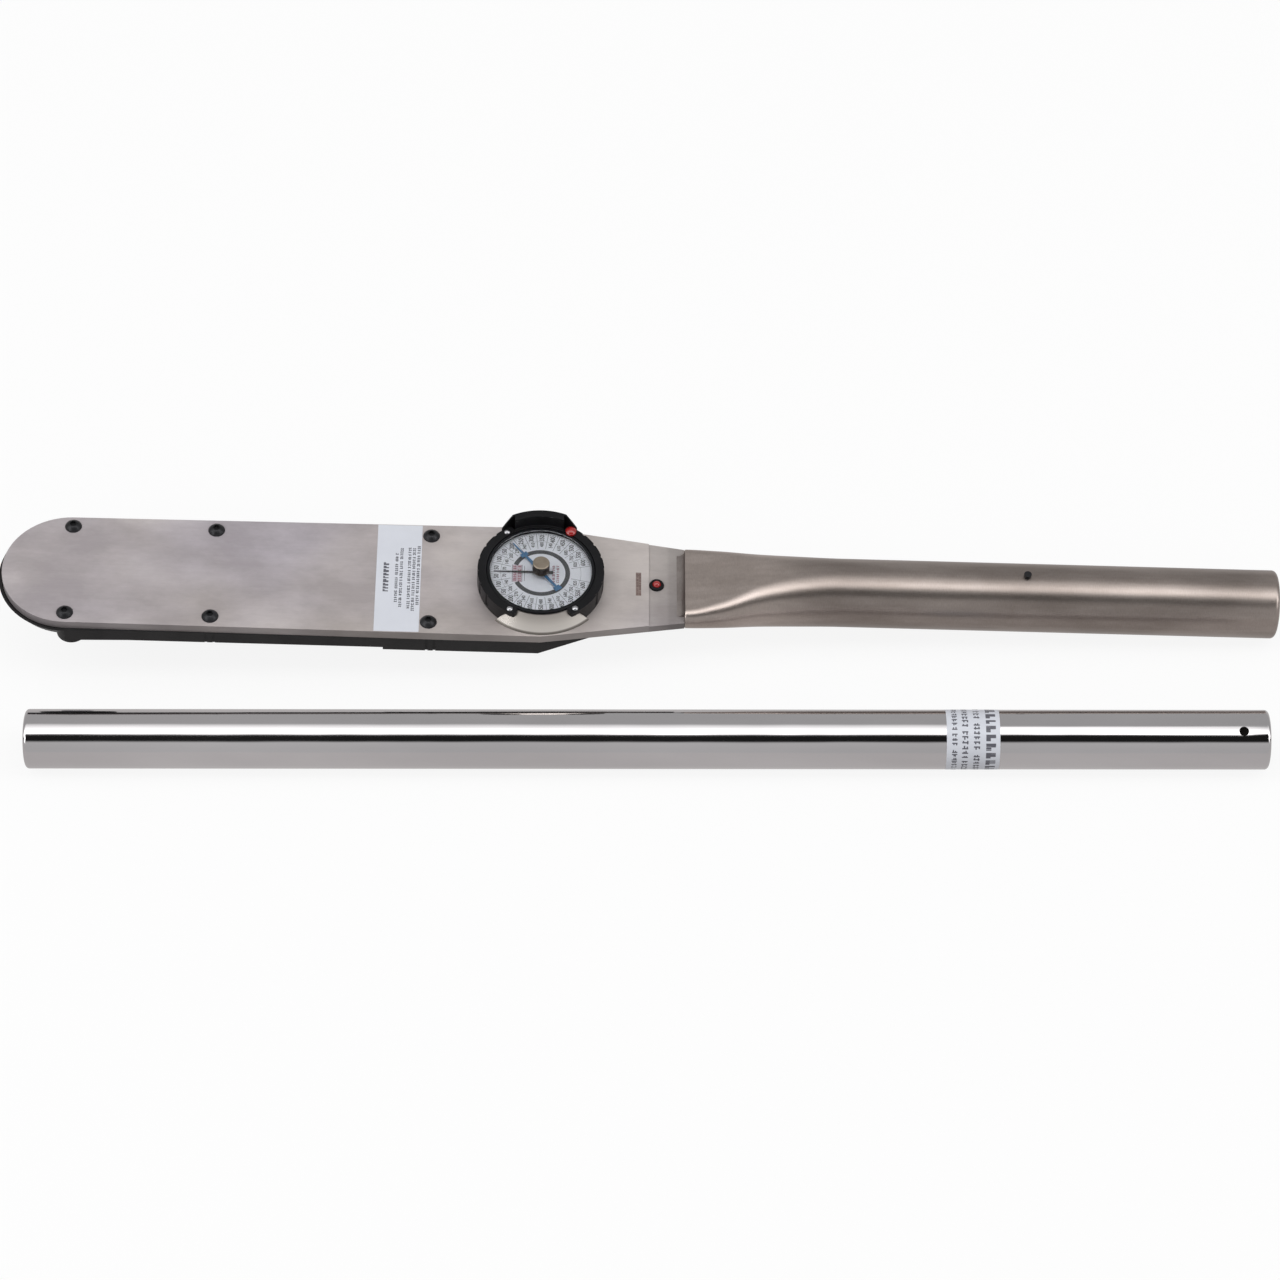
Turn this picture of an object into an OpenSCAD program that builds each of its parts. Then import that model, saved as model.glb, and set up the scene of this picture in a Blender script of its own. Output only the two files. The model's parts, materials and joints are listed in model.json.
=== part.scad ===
/* [Frame plate] */
// radius of the round drive end of the plate
head_r = 43.2; // [40:0.1:46]
// plate width where the sides are widest
plate_w = 90; // [88:0.5:96]
// distance from the drive axis to the start of the taper
taper_x = 305; // [295:1:315]
// distance from the drive axis to the thinner neck of the plate
step_x = 375; // [365:1:382]
// distance from the drive axis to the mouth of the handle tube
mouth_x = 398; // [390:1:405]
// plate width at the mouth of the handle tube
neck_w = 60.8; // [58:0.2:61]
// plate thickness
plate_t = 6.35; // [5:0.05:8]
// how much lower the neck is than the rest of the plate
neck_drop = 0.8; // [0.2:0.1:1.5]

/* [Handle] */
// outside diameter of the handle tube
handle_d = 44.45; // [42:0.05:48]
// bore diameter of the handle tube
handle_bore_d = 38.6; // [38.3:0.1:39]
// distance from the drive axis to the open end of the handle
handle_end_x = 784; // [700:1:850]
// distance from the drive axis to the point where the tube is fully round
round_x = 500; // [480:1:520]
// width of the flattened mouth of the handle tube
mouth_w = 61; // [60:0.5:64]
// height of the flattened mouth of the handle tube
mouth_h = 15.4; // [13:0.2:18]
// distance of the latch ball from the open end of the handle
latch_back = 164.5; // [120:0.5:175]

/* [Extension] */
// outside diameter of the extension tube
ext_d = 38.1; // [37.5:0.05:38.2]
// wall thickness of the extension tube
ext_wall = 3; // [2:0.1:5]
// length of the extension tube
ext_len = 792; // [600:0.5:900]
// sideways distance between the handle axis and the extension at rest
ext_side = 107.5; // [80:0.5:160]
// position of the outer end of the extension along the wrench
ext_from_x = -21; // [-60:0.5:0]
// distance of the latch hole from the insertion end
ext_hole_back = 17.5; // [12:0.5:40]
// roll of the latch hole away from straight up
ext_hole_roll = 20; // [0:5:90]
// distance of the wrap-round label from the insertion end
label_back = 172; // [150:1:182]

/* [Drive] */
// across flats of the square drive
drive_af = 19.05; // [12.7:0.01:20]
// depth of the drive end below the handle axis
drive_depth = 54.5; // [50:0.5:60]
// outside radius of the bearing boss
boss_r = 25; // [22:0.5:28]
// depth of the bearing boss end below the handle axis
boss_depth = 32; // [28:0.5:36]
// radius of the torsion bar
torsion_r = 9; // [7:0.1:9.4]

/* [Lower housing] */
// how far the housing stands out beyond the plate at the round end
housing_lip = 2.5; // [0:0.1:4]
// housing depth below the plate at the drive end
housing_head_h = 9.4; // [9.2:0.1:13]
// housing depth below the plate along the middle
housing_mid_h = 9.4; // [8.4:0.1:10]
// housing depth below the plate under the dial
housing_dial_h = 11.6; // [11:0.1:14]

/* [Dial] */
// distance from the drive axis to the pointer axis
dial_x = 304.6; // [300:0.1:310]
// radius of the dial case
case_r = 35; // [34:0.1:36]
// outside radius of the black guards
guard_r = 41; // [40:0.1:41.5]
// height of the guards above the plate
guard_h = 12.5; // [12:0.1:14]
// height of the hood behind the dial above the plate
hood_h = 21.5; // [17:0.5:24]
// height of the dial face above the plate
face_h = 8.7; // [7:0.1:8.7]
// radius of the memory-hand knob
knob_r = 5.5; // [4:0.5:8]
// height of the memory-hand knob
knob_h = 7.4; // [5:0.1:12]
// turn of the guards about the dial axis
guard_turn = 2.5; // [0:0.5:4]

/* [Movement] */
// distance from the sector pivot to the sensing pin
lever_len = 12.5; // [12:0.1:13]

/* [Hidden] */
$fn = 96;
// tooth size of the gear pair, teeth of the pinion, and teeth of the circle that the sector is cut from
gear_module = 0.5;
pinion_teeth = 10;
sector_teeth = 130;
// height of the handle axis above the end of the square drive, where the origin is
axis_z = drive_depth;
top_z = plate_t / 2;
neck_top_z = top_z - neck_drop;
under_z = -plate_t / 2;
handle_r = handle_d / 2;
bore_r = handle_bore_d / 2;
ext_r = ext_d / 2;
tang_end_x = mouth_x + 72;
screw_x = [0, 93, 233];
screw_y = 35.6;
head_floor_z = under_z - housing_head_h;
mid_floor_z = under_z - housing_mid_h;
dial_floor_z = under_z - housing_dial_h;
label_w = 34;
floor_t = 1.2;
wall_t = 2;
mid_x = 60;
deep_x = 204;
housing_end_x = 392;
head_draw = 3;
pad_h = 2.8;
pinion_r = gear_module * pinion_teeth / 2;
sector_r = gear_module * sector_teeth / 2;
pivot_x = dial_x - pinion_r - sector_r;
pin_x = pivot_x - lever_len;
arm_top_z = -5.6;
arm_bottom_z = -9.6;
sector_top_z = -9.9;
sector_bottom_z = -11.4;
bridge_top_z = -12.2;
bridge_bottom_z = -13.4;
journal_r = 16.5;
neck_r = 14;
rest_tilt = atan((drive_depth - handle_r) / (handle_end_x - 3 - drive_af / 2));
ground_x0_z = -drive_depth - drive_af / 2 * tan(rest_tilt);
ext_axis_z0 = ground_x0_z + ext_r / cos(rest_tilt);
led_x = 380;
cell_x = 252;
cell_y = -25;
lug_x = 21;
lug_y = 31.8;
latch_x = handle_end_x - latch_back;

// half of the plate outline runs from the round end to the buried tang
module plate_outline(grow = 0) {
  circle(head_r + grow);
  polygon([
    [0, -head_r], [250, -plate_w / 2], [taper_x, -plate_w / 2],
    [mouth_x, -neck_w / 2], [mouth_x, neck_w / 2],
    [taper_x, plate_w / 2], [250, plate_w / 2], [0, head_r]
  ]);
}

module tang_outline() {
  polygon([[mouth_x - 1, -27], [tang_end_x, -20], [tang_end_x, 20], [mouth_x - 1, 27]]);
}

module frame_plate() {
  color([0.72, 0.69, 0.68]) translate([0, 0, axis_z])
  difference() {
    union() {
      intersection() {
        translate([0, 0, under_z]) linear_extrude(plate_t) plate_outline();
        translate([-60, -60, -20]) cube([60 + step_x, 120, 40]);
      }
      intersection() {
        translate([0, 0, under_z]) linear_extrude(plate_t - neck_drop) plate_outline();
        translate([step_x - 5, -60, -20]) cube([60, 120, 40]);
      }
      translate([0, 0, under_z]) linear_extrude(plate_t - neck_drop) tang_outline();
    }
    for (x = screw_x, s = [-1, 1]) {
      translate([x, s * screw_y, -10]) cylinder(h = 20, r = 3.25);
    }
    // blind hexagon that holds the top of the torsion bar
    translate([0, 0, -10]) cylinder(h = 11, r = 13.9, $fn = 6);
    // clearance for the pointer arbor, seat for the sector pivot
    translate([dial_x, 0, -10]) cylinder(h = 20, r = 3);
    translate([pivot_x, 0, -10]) cylinder(h = 8.8, r = 1.55);
    // signal light hole
    translate([led_x, 0, -10]) cylinder(h = 20, r = 4);
    // threaded seats of the guard screws
    for (sx = [-1, 1], sy = [-1, 1]) {
      translate([dial_x, 0, top_z - 4]) rotate([0, 0, guard_turn]) translate([sx * lug_x, sy * lug_y, 0]) cylinder(h = 8, r = 1.3);
    }
    // blind seats of the bridge pillars and the stop pins
    for (p = pillar_spots()) {
      translate([p[0], p[1], -10]) cylinder(h = 8.8, r = 1.25);
    }
    for (s = [-1, 1]) {
      translate([200, s * 8.9, -10]) cylinder(h = 9, r = 1.5);
    }
  }
}

function pillar_spots() = [[pivot_x - 3.6, 9.5], [pivot_x - 3.6, -9.5],
  [dial_x + 8.5, 7], [dial_x + 8.5, -7]];

function floor_at(x) = x < mid_x ? head_floor_z : (x < deep_x ? mid_floor_z : dial_floor_z);

module plate_screws() {
  color([0.12, 0.12, 0.13]) translate([0, 0, axis_z])
  for (x = screw_x, s = [-1, 1]) {
    translate([x, s * screw_y, 0]) difference() {
      union() {
        intersection() {
          translate([0, 0, top_z]) cylinder(h = 3.3, r = 5.55);
          translate([0, 0, top_z - 2.9]) sphere(r = 6.25);
        }
        translate([0, 0, floor_at(x) + 0.6]) cylinder(h = top_z - floor_at(x), r = 3.15);
      }
      translate([0, 0, top_z + 1.1]) cylinder(h = 4, r = 2.25, $fn = 6);
    }
  }
}

module plate_nuts() {
  color([0.2, 0.2, 0.21]) translate([0, 0, axis_z])
  for (x = screw_x, s = [-1, 1]) {
    translate([x, s * screw_y, floor_at(x) + 0.5]) difference() {
      cylinder(h = 3.4, r = 5.9, $fn = 6);
      translate([0, 0, -1]) cylinder(h = 6, r = 3.2);
    }
  }
}

module plate_label() {
  color([0.93, 0.93, 0.94]) translate([0, 0, axis_z])
  translate([198, -44, top_z]) cube([29, 88, 0.15]);
}

// flattened tube section in the plane across the handle
module tube_section(w, h) {
  square([2 * (w - h), 2 * h], center = true);
  for (s = [-1, 1]) {
    translate([s * (w - h), 0]) circle(h);
  }
}

module tube_slice(x, w, h) {
  translate([x, 0, 0]) rotate([90, 0, 90]) linear_extrude(0.5) tube_section(w, h);
}

module handle_tube() {
  color([0.62, 0.6, 0.58]) translate([0, 0, axis_z])
  difference() {
    union() {
      hull() {
        tube_slice(mouth_x, mouth_w / 2, mouth_h / 2);
        tube_slice(mouth_x + 23, 28.8, 10.7);
      }
      hull() {
        tube_slice(mouth_x + 23, 28.8, 10.7);
        tube_slice(mouth_x + 49, 25, 17.3);
      }
      hull() {
        tube_slice(mouth_x + 49, 25, 17.3);
        tube_slice(mouth_x + 75, 23.4, 20.2);
      }
      hull() {
        tube_slice(mouth_x + 75, 23.4, 20.2);
        translate([round_x, 0, 0]) rotate([0, 90, 0]) cylinder(h = 0.5, r = handle_r - 0.3);
      }
      translate([round_x - 0.5, 0, 0]) rotate([0, 90, 0]) rotate_extrude() {
        square([handle_r, handle_end_x - round_x - 2.5]);
        square([handle_r - 3, handle_end_x - round_x + 0.5]);
        translate([handle_r - 3, handle_end_x - round_x - 2.5]) circle(3);
      }
    }
    // slot that grips the tang
    translate([0, 0, under_z]) linear_extrude(plate_t - neck_drop) tang_outline();
    translate([tang_end_x - 2, 0, 0]) rotate([0, 90, 0]) cylinder(h = round_x - tang_end_x + 4, r1 = 15, r2 = bore_r - 0.6);
    translate([round_x, 0, 0]) rotate([0, 90, 0]) cylinder(h = 400, r = bore_r);
    translate([handle_end_x - 0.8, 0, 0]) rotate([0, 90, 0]) cylinder(h = 1, r1 = bore_r, r2 = bore_r + 1);
    translate([latch_x, 0, 0]) cylinder(h = 40, r = 2.5);
  }
}

// concave weld fillets where the plate enters the tube
module weld_fillet(rise) {
  rotate([90, 0, 0]) translate([0, 0, -25]) linear_extrude(50) difference() {
    translate([-rise, 0]) square([rise, rise]);
    translate([-rise, rise]) circle(rise);
  }
}

module handle_weld() {
  color([0.45, 0.43, 0.42]) translate([0, 0, axis_z]) {
    translate([mouth_x, 0, neck_top_z]) weld_fillet(mouth_h / 2 - neck_top_z - 0.4);
    translate([mouth_x, 0, under_z]) mirror([0, 0, 1]) weld_fillet(mouth_h / 2 + under_z - 0.4);
  }
}

module latch_body() {
  color([0.15, 0.15, 0.16]) translate([0, 0, axis_z])
  translate([latch_x, 0, 0]) difference() {
    translate([0, 0, bore_r + 0.05]) cylinder(h = handle_r + 2.45 - bore_r, r = 2.45);
    translate([0, 0, bore_r - 1]) cylinder(h = 1.15, r = 1.54);
    translate([0, 0, bore_r + 0.1]) cylinder(h = handle_r + 1.65 - bore_r, r = 1.66);
  }
}

module latch_ball() {
  color([0.75, 0.75, 0.76]) translate([0, 0, axis_z])
  translate([latch_x, 0, bore_r + 1.62]) sphere(r = 1.6);
}

module coil(r, wire, turns, pitch) {
  for (i = [0 : turns - 1]) {
    translate([0, 0, i * pitch + wire]) rotate_extrude() translate([r - wire, 0]) circle(wire);
  }
  for (a = [0, 180]) {
    rotate([0, 0, a]) translate([r - wire, 0, wire]) cylinder(h = (turns - 1) * pitch, r = wire * 0.7);
  }
}

module latch_spring() {
  color([0.6, 0.6, 0.6]) translate([0, 0, axis_z])
  translate([latch_x, 0, bore_r + 3.25]) coil(1.4, 0.15, 4, 0.36);
}

// outline of the lower housing seen from above
module housing_outline(inset = 0) {
  circle(head_r + housing_lip - inset);
  polygon([
    [0, -head_r - housing_lip + inset], [40, -44.6 + inset], [250, -plate_w / 2 + 0.1 + inset],
    [304, -plate_w / 2 + 0.1 + inset], [350, -25.5 + inset], [housing_end_x - inset, -15 + inset],
    [housing_end_x - inset, 15 - inset], [350, 25.5 - inset],
    [304, plate_w / 2 - 0.1 - inset], [250, plate_w / 2 - 0.1 - inset], [40, 44.6 - inset],
    [0, head_r + housing_lip - inset]
  ]);
}

module slab(x0, x1, z0, z1) {
  translate([x0, -60, z0]) cube([x1 - x0, 120, z1 - z0]);
}

module housing_body(inset, lift) {
  intersection() {
    translate([0, 0, -30]) linear_extrude(30) housing_outline(inset);
    union() {
      slab(-60, mid_x - inset, head_floor_z + lift, under_z);
      slab(mid_x - 10, deep_x + 10, mid_floor_z + lift, under_z);
      slab(deep_x + inset, 400, dial_floor_z + lift, under_z);
    }
    // the round end draws in towards its floor
    union() {
      translate([0, 0, head_floor_z]) {
        cylinder(h = housing_head_h, r1 = head_r - head_draw - inset, r2 = head_r + housing_lip - inset);
      }
      slab(inset, 400, -30, under_z);
    }
  }
}

module lower_housing() {
  color([0.14, 0.14, 0.15]) translate([0, 0, axis_z])
  difference() {
    union() {
      difference() {
        housing_body(0, 0);
        translate([0, 0, 0.01]) housing_body(wall_t, floor_t);
      }
      intersection() {
        housing_body(0, 0);
        for (x = screw_x, s = [-1, 1]) {
          translate([x, s * screw_y, -30]) cylinder(h = 40, r = 7.2);
        }
      }
      // raised pads round the first pair of screws
      difference() {
        for (s = [-1, 1]) {
          translate([3.6, s * 35.9, head_floor_z - pad_h]) cylinder(h = housing_head_h + pad_h, r = 9.7);
        }
        translate([0, 0, head_floor_z + floor_t]) cylinder(h = 20, r = 28.6);
      }
    }
    for (x = screw_x, s = [-1, 1]) {
      translate([x, s * screw_y, -30]) cylinder(h = 40, r = 3.2);
      translate([x, s * screw_y, floor_at(x) - 4]) cylinder(h = 8, r = 6, $fn = 6);
    }
    translate([0, 0, -30]) cylinder(h = 40, r = boss_r + 0.05);
    translate([cell_x, cell_y, -30]) cylinder(h = 20, r = 11.05);
    // narrow drain notches in both sides
    for (x = [90.4, 95.4, 232, 237], s = [-1, 1]) {
      translate([x - 0.8, s * 45 - 0.7, -30]) cube([1.6, 1.4, 40]);
    }
  }
}

module head_boss() {
  color([0.3, 0.3, 0.31]) translate([0, 0, axis_z])
  difference() {
    union() {
      translate([0, 0, -boss_depth]) cylinder(h = boss_depth - 10.8, r = boss_r);
      translate([0, 0, head_floor_z + floor_t + 0.02]) cylinder(h = -10.8 - head_floor_z - floor_t, r = 28.3);
    }
    translate([0, 0, -40]) cylinder(h = 40, r = journal_r + 1.55);
  }
}

module drive_bushing() {
  color([0.72, 0.55, 0.3]) translate([0, 0, axis_z])
  translate([0, 0, -31.8]) difference() {
    cylinder(h = 20.2, r = journal_r + 1.5);
    translate([0, 0, -1]) cylinder(h = 30, r = journal_r + 0.05);
  }
}

module torsion_bar() {
  color([0.55, 0.55, 0.57]) translate([0, 0, axis_z]) {
    translate([0, 0, under_z - 0.5]) cylinder(h = 1.4 - under_z, r = 13.8, $fn = 6);
    translate([0, 0, -30.8]) cylinder(h = 30, r = torsion_r);
  }
}

module square_drive() {
  color([0.6, 0.6, 0.62]) translate([0, 0, axis_z])
  difference() {
    union() {
      intersection() {
        translate([-drive_af / 2, -drive_af / 2, -drive_depth]) cube([drive_af, drive_af, drive_depth - 32]);
        translate([0, 0, -drive_depth]) cylinder(h = 2.4, r1 = 11.2, r2 = 13.6);
      }
      intersection() {
        translate([-drive_af / 2, -drive_af / 2, 2.4 - drive_depth]) cube([drive_af, drive_af, drive_depth - 34.4]);
        translate([0, 0, -drive_depth]) cylinder(h = 60, r = 12.9);
      }
      translate([0, 0, -33]) cylinder(h = 21.8, r = journal_r);
      translate([0, 0, -12]) cylinder(h = 6.6, r = neck_r);
    }
    translate([0, 0, -31]) cylinder(h = 40, r = torsion_r + 0.05);
    translate([0, 0, -45]) rotate([90, 0, 0]) translate([0, 0, 1]) cylinder(h = 20, r = 2.66);
  }
}

module drive_ball() {
  color([0.75, 0.75, 0.76]) translate([0, 0, axis_z])
  translate([0, -8.3, -45]) sphere(r = 2.6);
}

module drive_spring() {
  color([0.6, 0.6, 0.6]) translate([0, 0, axis_z])
  translate([0, -2.55, -45]) rotate([90, 0, 0]) coil(2.3, 0.25, 4, 0.85);
}

module sensing_arm() {
  color([0.66, 0.66, 0.64]) translate([0, 0, axis_z])
  difference() {
    union() {
      translate([0, 0, arm_bottom_z]) cylinder(h = arm_top_z - arm_bottom_z, r = 20);
      translate([0, 0, arm_bottom_z]) linear_extrude(arm_top_z - arm_bottom_z) polygon([
        [10, -8], [60, -6], [pin_x, -4.5], [pin_x, 4.5], [60, 6], [10, 8]
      ]);
      translate([pin_x, 0, arm_bottom_z]) cylinder(h = arm_top_z - arm_bottom_z, r = 4.5);
    }
    translate([0, 0, -20]) cylinder(h = 40, r = neck_r + 0.02);
    translate([pin_x, 0, -20]) cylinder(h = 40, r = 1.52);
    translate([-24, -0.6, -20]) cube([12, 1.2, 40]);
    translate([-17.2, 12, -7.6]) rotate([90, 0, 0]) cylinder(h = 20, r = 1.25);
  }
}

module arm_clamp_screw() {
  color([0.2, 0.2, 0.2]) translate([0, 0, axis_z])
  translate([-17.2, 9.5, -7.6]) rotate([90, 0, 0]) cylinder(h = 17, r = 1.2);
}

module arm_pin() {
  color([0.75, 0.75, 0.76]) translate([0, 0, axis_z])
  translate([pin_x, 0, sector_bottom_z]) cylinder(h = arm_top_z - sector_bottom_z + 0.4, r = 1.5);
}

module stop_pins() {
  color([0.6, 0.6, 0.6]) translate([0, 0, axis_z])
  for (s = [-1, 1]) {
    translate([200, s * 8.9, arm_bottom_z]) cylinder(h = 8, r = 1.45);
  }
}

// gear flank points of one tooth centred on angle a
function tooth(a, r, m, half_pitch, half_tip, half_root, add, ded) = [
  [(r - ded) * cos(a - half_root), (r - ded) * sin(a - half_root)],
  [r * cos(a - half_pitch), r * sin(a - half_pitch)],
  [(r + add) * cos(a - half_tip), (r + add) * sin(a - half_tip)],
  [(r + add) * cos(a + half_tip), (r + add) * sin(a + half_tip)],
  [r * cos(a + half_pitch), r * sin(a + half_pitch)],
  [(r - ded) * cos(a + half_root), (r - ded) * sin(a + half_root)]
];

function gear_points(n, r, from, count, add, ded, wp, wt, wr) = [
  for (i = [0 : count - 1]) for (p = tooth(from + i * 360 / n, r, gear_module,
    wp / r * 57.2958, wt / (r + add) * 57.2958, wr / (r - ded) * 57.2958, add, ded)) p
];

module movement_bridge() {
  color([0.75, 0.62, 0.35]) translate([0, 0, axis_z])
  difference() {
    translate([0, 0, bridge_bottom_z]) linear_extrude(bridge_top_z - bridge_bottom_z) polygon([
      [pivot_x - 8, -12.5], [pivot_x + 2, -12.5], [dial_x + 12, -10],
      [dial_x + 12, 10], [pivot_x + 2, 12.5], [pivot_x - 8, 12.5]
    ]);
    translate([pivot_x, 0, -20]) cylinder(h = 20, r = 1.55);
    translate([dial_x, 0, -20]) cylinder(h = 20, r = 1.05);
    for (p = pillar_spots()) {
      translate([p[0], p[1], -20]) cylinder(h = 20, r = 1.1);
    }
  }
}

module bridge_pillars() {
  color([0.75, 0.62, 0.35]) translate([0, 0, axis_z])
  for (p = pillar_spots()) {
    translate([p[0], p[1], bridge_top_z]) difference() {
      union() {
        cylinder(h = under_z - bridge_top_z, r = 2);
        cylinder(h = under_z - bridge_top_z + 1.8, r = 1.2);
      }
      translate([0, 0, -1]) cylinder(h = 5, r = 0.95);
    }
  }
}

module bridge_screws() {
  color([0.6, 0.6, 0.6]) translate([0, 0, axis_z])
  for (p = pillar_spots()) {
    translate([p[0], p[1], bridge_bottom_z]) {
      translate([0, 0, -0.12]) cylinder(h = 0.12, r = 1.9);
      translate([0, 0, -0.1]) cylinder(h = 4.2, r = 0.9);
    }
  }
}

module sector_gear() {
  color([0.78, 0.65, 0.35]) translate([0, 0, axis_z])
  translate([pivot_x, 0, sector_bottom_z]) difference() {
    linear_extrude(sector_top_z - sector_bottom_z) union() {
      polygon(concat([[0, 0]], gear_points(sector_teeth, sector_r, -10 * 360 / sector_teeth,
        21, 0.28, 0.45, 0.3, 0.14, 0.5)));
      circle(4);
      polygon([[0, -2.9], [0, 2.9], [-lever_len - 2.6, 2.9], [-lever_len - 2.6, -2.9]]);
    }
    translate([0, 0, -1]) cylinder(h = 5, r = 1.52);
    // slot that rides on the sensing pin
    translate([-lever_len - 5, -1.72, -1]) cube([7.2, 3.44, 5]);
    // lightening window
    translate([0, 0, -1]) linear_extrude(5) polygon([
      [9, -2], [26, -7], [28, 0], [26, 7], [9, 2]
    ]);
  }
}

module sector_arbor() {
  color([0.7, 0.7, 0.7]) translate([0, 0, axis_z])
  translate([pivot_x, 0, bridge_bottom_z]) cylinder(h = -1.5 - bridge_bottom_z, r = 1.5);
}

module pinion_arbor() {
  color([0.7, 0.7, 0.7]) translate([0, 0, axis_z])
  translate([dial_x, 0, 0]) {
    translate([0, 0, bridge_bottom_z]) cylinder(h = top_z + face_h + 1.2 - bridge_bottom_z, r = 1);
    translate([0, 0, sector_bottom_z - 0.2]) linear_extrude(sector_top_z - sector_bottom_z + 0.4) {
      polygon(gear_points(pinion_teeth, pinion_r, 180 / pinion_teeth, pinion_teeth, 0.3, 0.5, 0.3, 0.13, 0.45));
    }
  }
}

module pointer() {
  color([0.08, 0.08, 0.08]) translate([0, 0, axis_z])
  translate([dial_x, 0, top_z + face_h]) difference() {
    union() {
      translate([0, 0, 0.4]) cylinder(h = 1, r = 2.2);
      translate([0, 0, 0.7]) linear_extrude(0.4) polygon([
        [-30.5, -0.2], [0, -0.8], [8, -1.1], [8, 1.1], [0, 0.8], [-30.5, 0.2]
      ]);
    }
    translate([0, 0, -1]) cylinder(h = 5, r = 1.01);
  }
}

module dial_case() {
  color([0.75, 0.73, 0.71]) translate([0, 0, axis_z])
  translate([dial_x, 0, top_z]) difference() {
    union() {
      cylinder(h = face_h - 1.2, r = case_r);
      rotate([0, 0, guard_turn]) intersection() {
        cylinder(h = 10.7, r1 = 43.8, r2 = 36.1);
        translate([-50, -60, 0]) cube([100, 40, 20]);
      }
    }
    translate([0, 0, 1.2]) cylinder(h = 20, r = case_r - 1.6);
    translate([0, 0, face_h - 1.2]) cylinder(h = 20, r = case_r + 0.25);
    translate([0, 0, -1]) cylinder(h = 5, r = 3);
    rotate([0, 0, guard_turn]) for (sx = [-1, 1]) {
      translate([sx * lug_x, -lug_y, -1]) cylinder(h = 30, r = 1.3);
      translate([sx * lug_x, -lug_y, guard_h - 3.6]) cylinder(h = 30, r = 5.05);
    }
    rotate([0, 0, guard_turn]) skirt_side();
    rotate([0, 0, guard_turn]) mirror([1, 0, 0]) skirt_side();
  }
}

// everything beyond the slanted near end of the right guard, on the guard's side
module skirt_side() {
  rotate([0, 0, -46]) rotate([32, 0, 0]) translate([10, -0.08, -40]) cube([60, 60, 100]);
}

module dial_face() {
  color([0.93, 0.93, 0.93]) translate([0, 0, axis_z])
  translate([dial_x, 0, top_z + face_h - 1]) difference() {
    cylinder(h = 1, r = 33.3);
    translate([0, 0, -1]) cylinder(h = 5, r = 1.6);
  }
}

module bezel_ring() {
  color([0.08, 0.08, 0.09]) translate([0, 0, axis_z])
  translate([dial_x, 0, top_z + face_h]) rotate_extrude() polygon([
    [33.35, -1.1], [case_r, -1.1], [case_r, 3.3], [case_r - 0.4, 3.7],
    [33, 3.7], [33, 3.25], [33.35, 3.25]
  ]);
}

module dial_glass() {
  color([0.9, 0.95, 0.98, 0.3]) translate([0, 0, axis_z])
  translate([dial_x, 0, top_z + face_h + 2.2]) difference() {
    cylinder(h = 1, r = 33.3);
    translate([0, 0, -1]) cylinder(h = 5, r = 2.1);
  }
}

module memory_hand() {
  color([0.1, 0.35, 0.6]) translate([0, 0, axis_z])
  translate([dial_x, 0, top_z + face_h + 1.65]) rotate([0, 0, 129]) difference() {
    linear_extrude(0.35) {
      circle(3);
      polygon([[0, -1.4], [29, -0.3], [29, 0.3], [0, 1.4]]);
      polygon([[0, 1.1], [-15.5, 0.8], [-15.5, 2.2], [-19, 2.6], [-19, -2.6], [-15.5, -2.2],
        [-15.5, -0.8], [0, -1.1]]);
    }
    translate([0, 0, -1]) cylinder(h = 3, r = 2.01);
  }
}

module memory_knob() {
  color([0.5, 0.47, 0.42]) translate([0, 0, axis_z])
  translate([dial_x, 0, top_z + face_h]) {
    translate([0, 0, 1.65]) cylinder(h = 3, r = 2);
    translate([0, 0, 3.75]) difference() {
      rotate_extrude() {
        square([knob_r, knob_h - 0.8]);
        square([knob_r - 0.8, knob_h]);
        translate([knob_r - 0.8, knob_h - 0.8]) circle(0.8);
      }
      for (i = [0 : 23]) {
        rotate([0, 0, i * 15]) translate([knob_r + 0.15, 0, 0.6]) cylinder(h = knob_h - 1.6, r = 0.4);
      }
    }
  }
}

module lug(sy, z0) {
  intersection() {
    translate([lug_x, sy * lug_y, z0]) cylinder(h = guard_h - z0, r = 5);
    cylinder(h = 60, r = guard_r);
  }
}

module guard() {
  difference() {
    union() {
      difference() {
        intersection() {
          cylinder(h = guard_h, r = guard_r);
          linear_extrude(guard_h) polygon([[0, 0], [33, 50], [60, 50], [60, -50], [30, -50]]);
        }
        rotate([0, 0, -46]) rotate([32, 0, 0]) translate([10, -60, -40]) cube([60, 60, 100]);
      }
      lug(1, 0);
      lug(-1, guard_h - 3.5);
    }
    translate([0, 0, -1]) cylinder(h = 30, r = case_r + 0.3);
    for (sy = [-1, 1]) {
      translate([lug_x, sy * lug_y, -1]) cylinder(h = 30, r = 1.3);
    }
    // finger grooves round the outside
    for (a = [-30 : 15 : 45]) {
      rotate([0, 0, a]) translate([guard_r + 0.9, 0, 2]) cylinder(h = 30, r = 1.6);
    }
  }
}

module guard_left() {
  color([0.1, 0.1, 0.11]) translate([0, 0, axis_z])
  translate([dial_x, 0, top_z]) rotate([0, 0, guard_turn]) mirror([1, 0, 0]) guard();
}

module guard_right() {
  color([0.1, 0.1, 0.11]) translate([0, 0, axis_z])
  translate([dial_x, 0, top_z]) rotate([0, 0, guard_turn]) guard();
}

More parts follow.
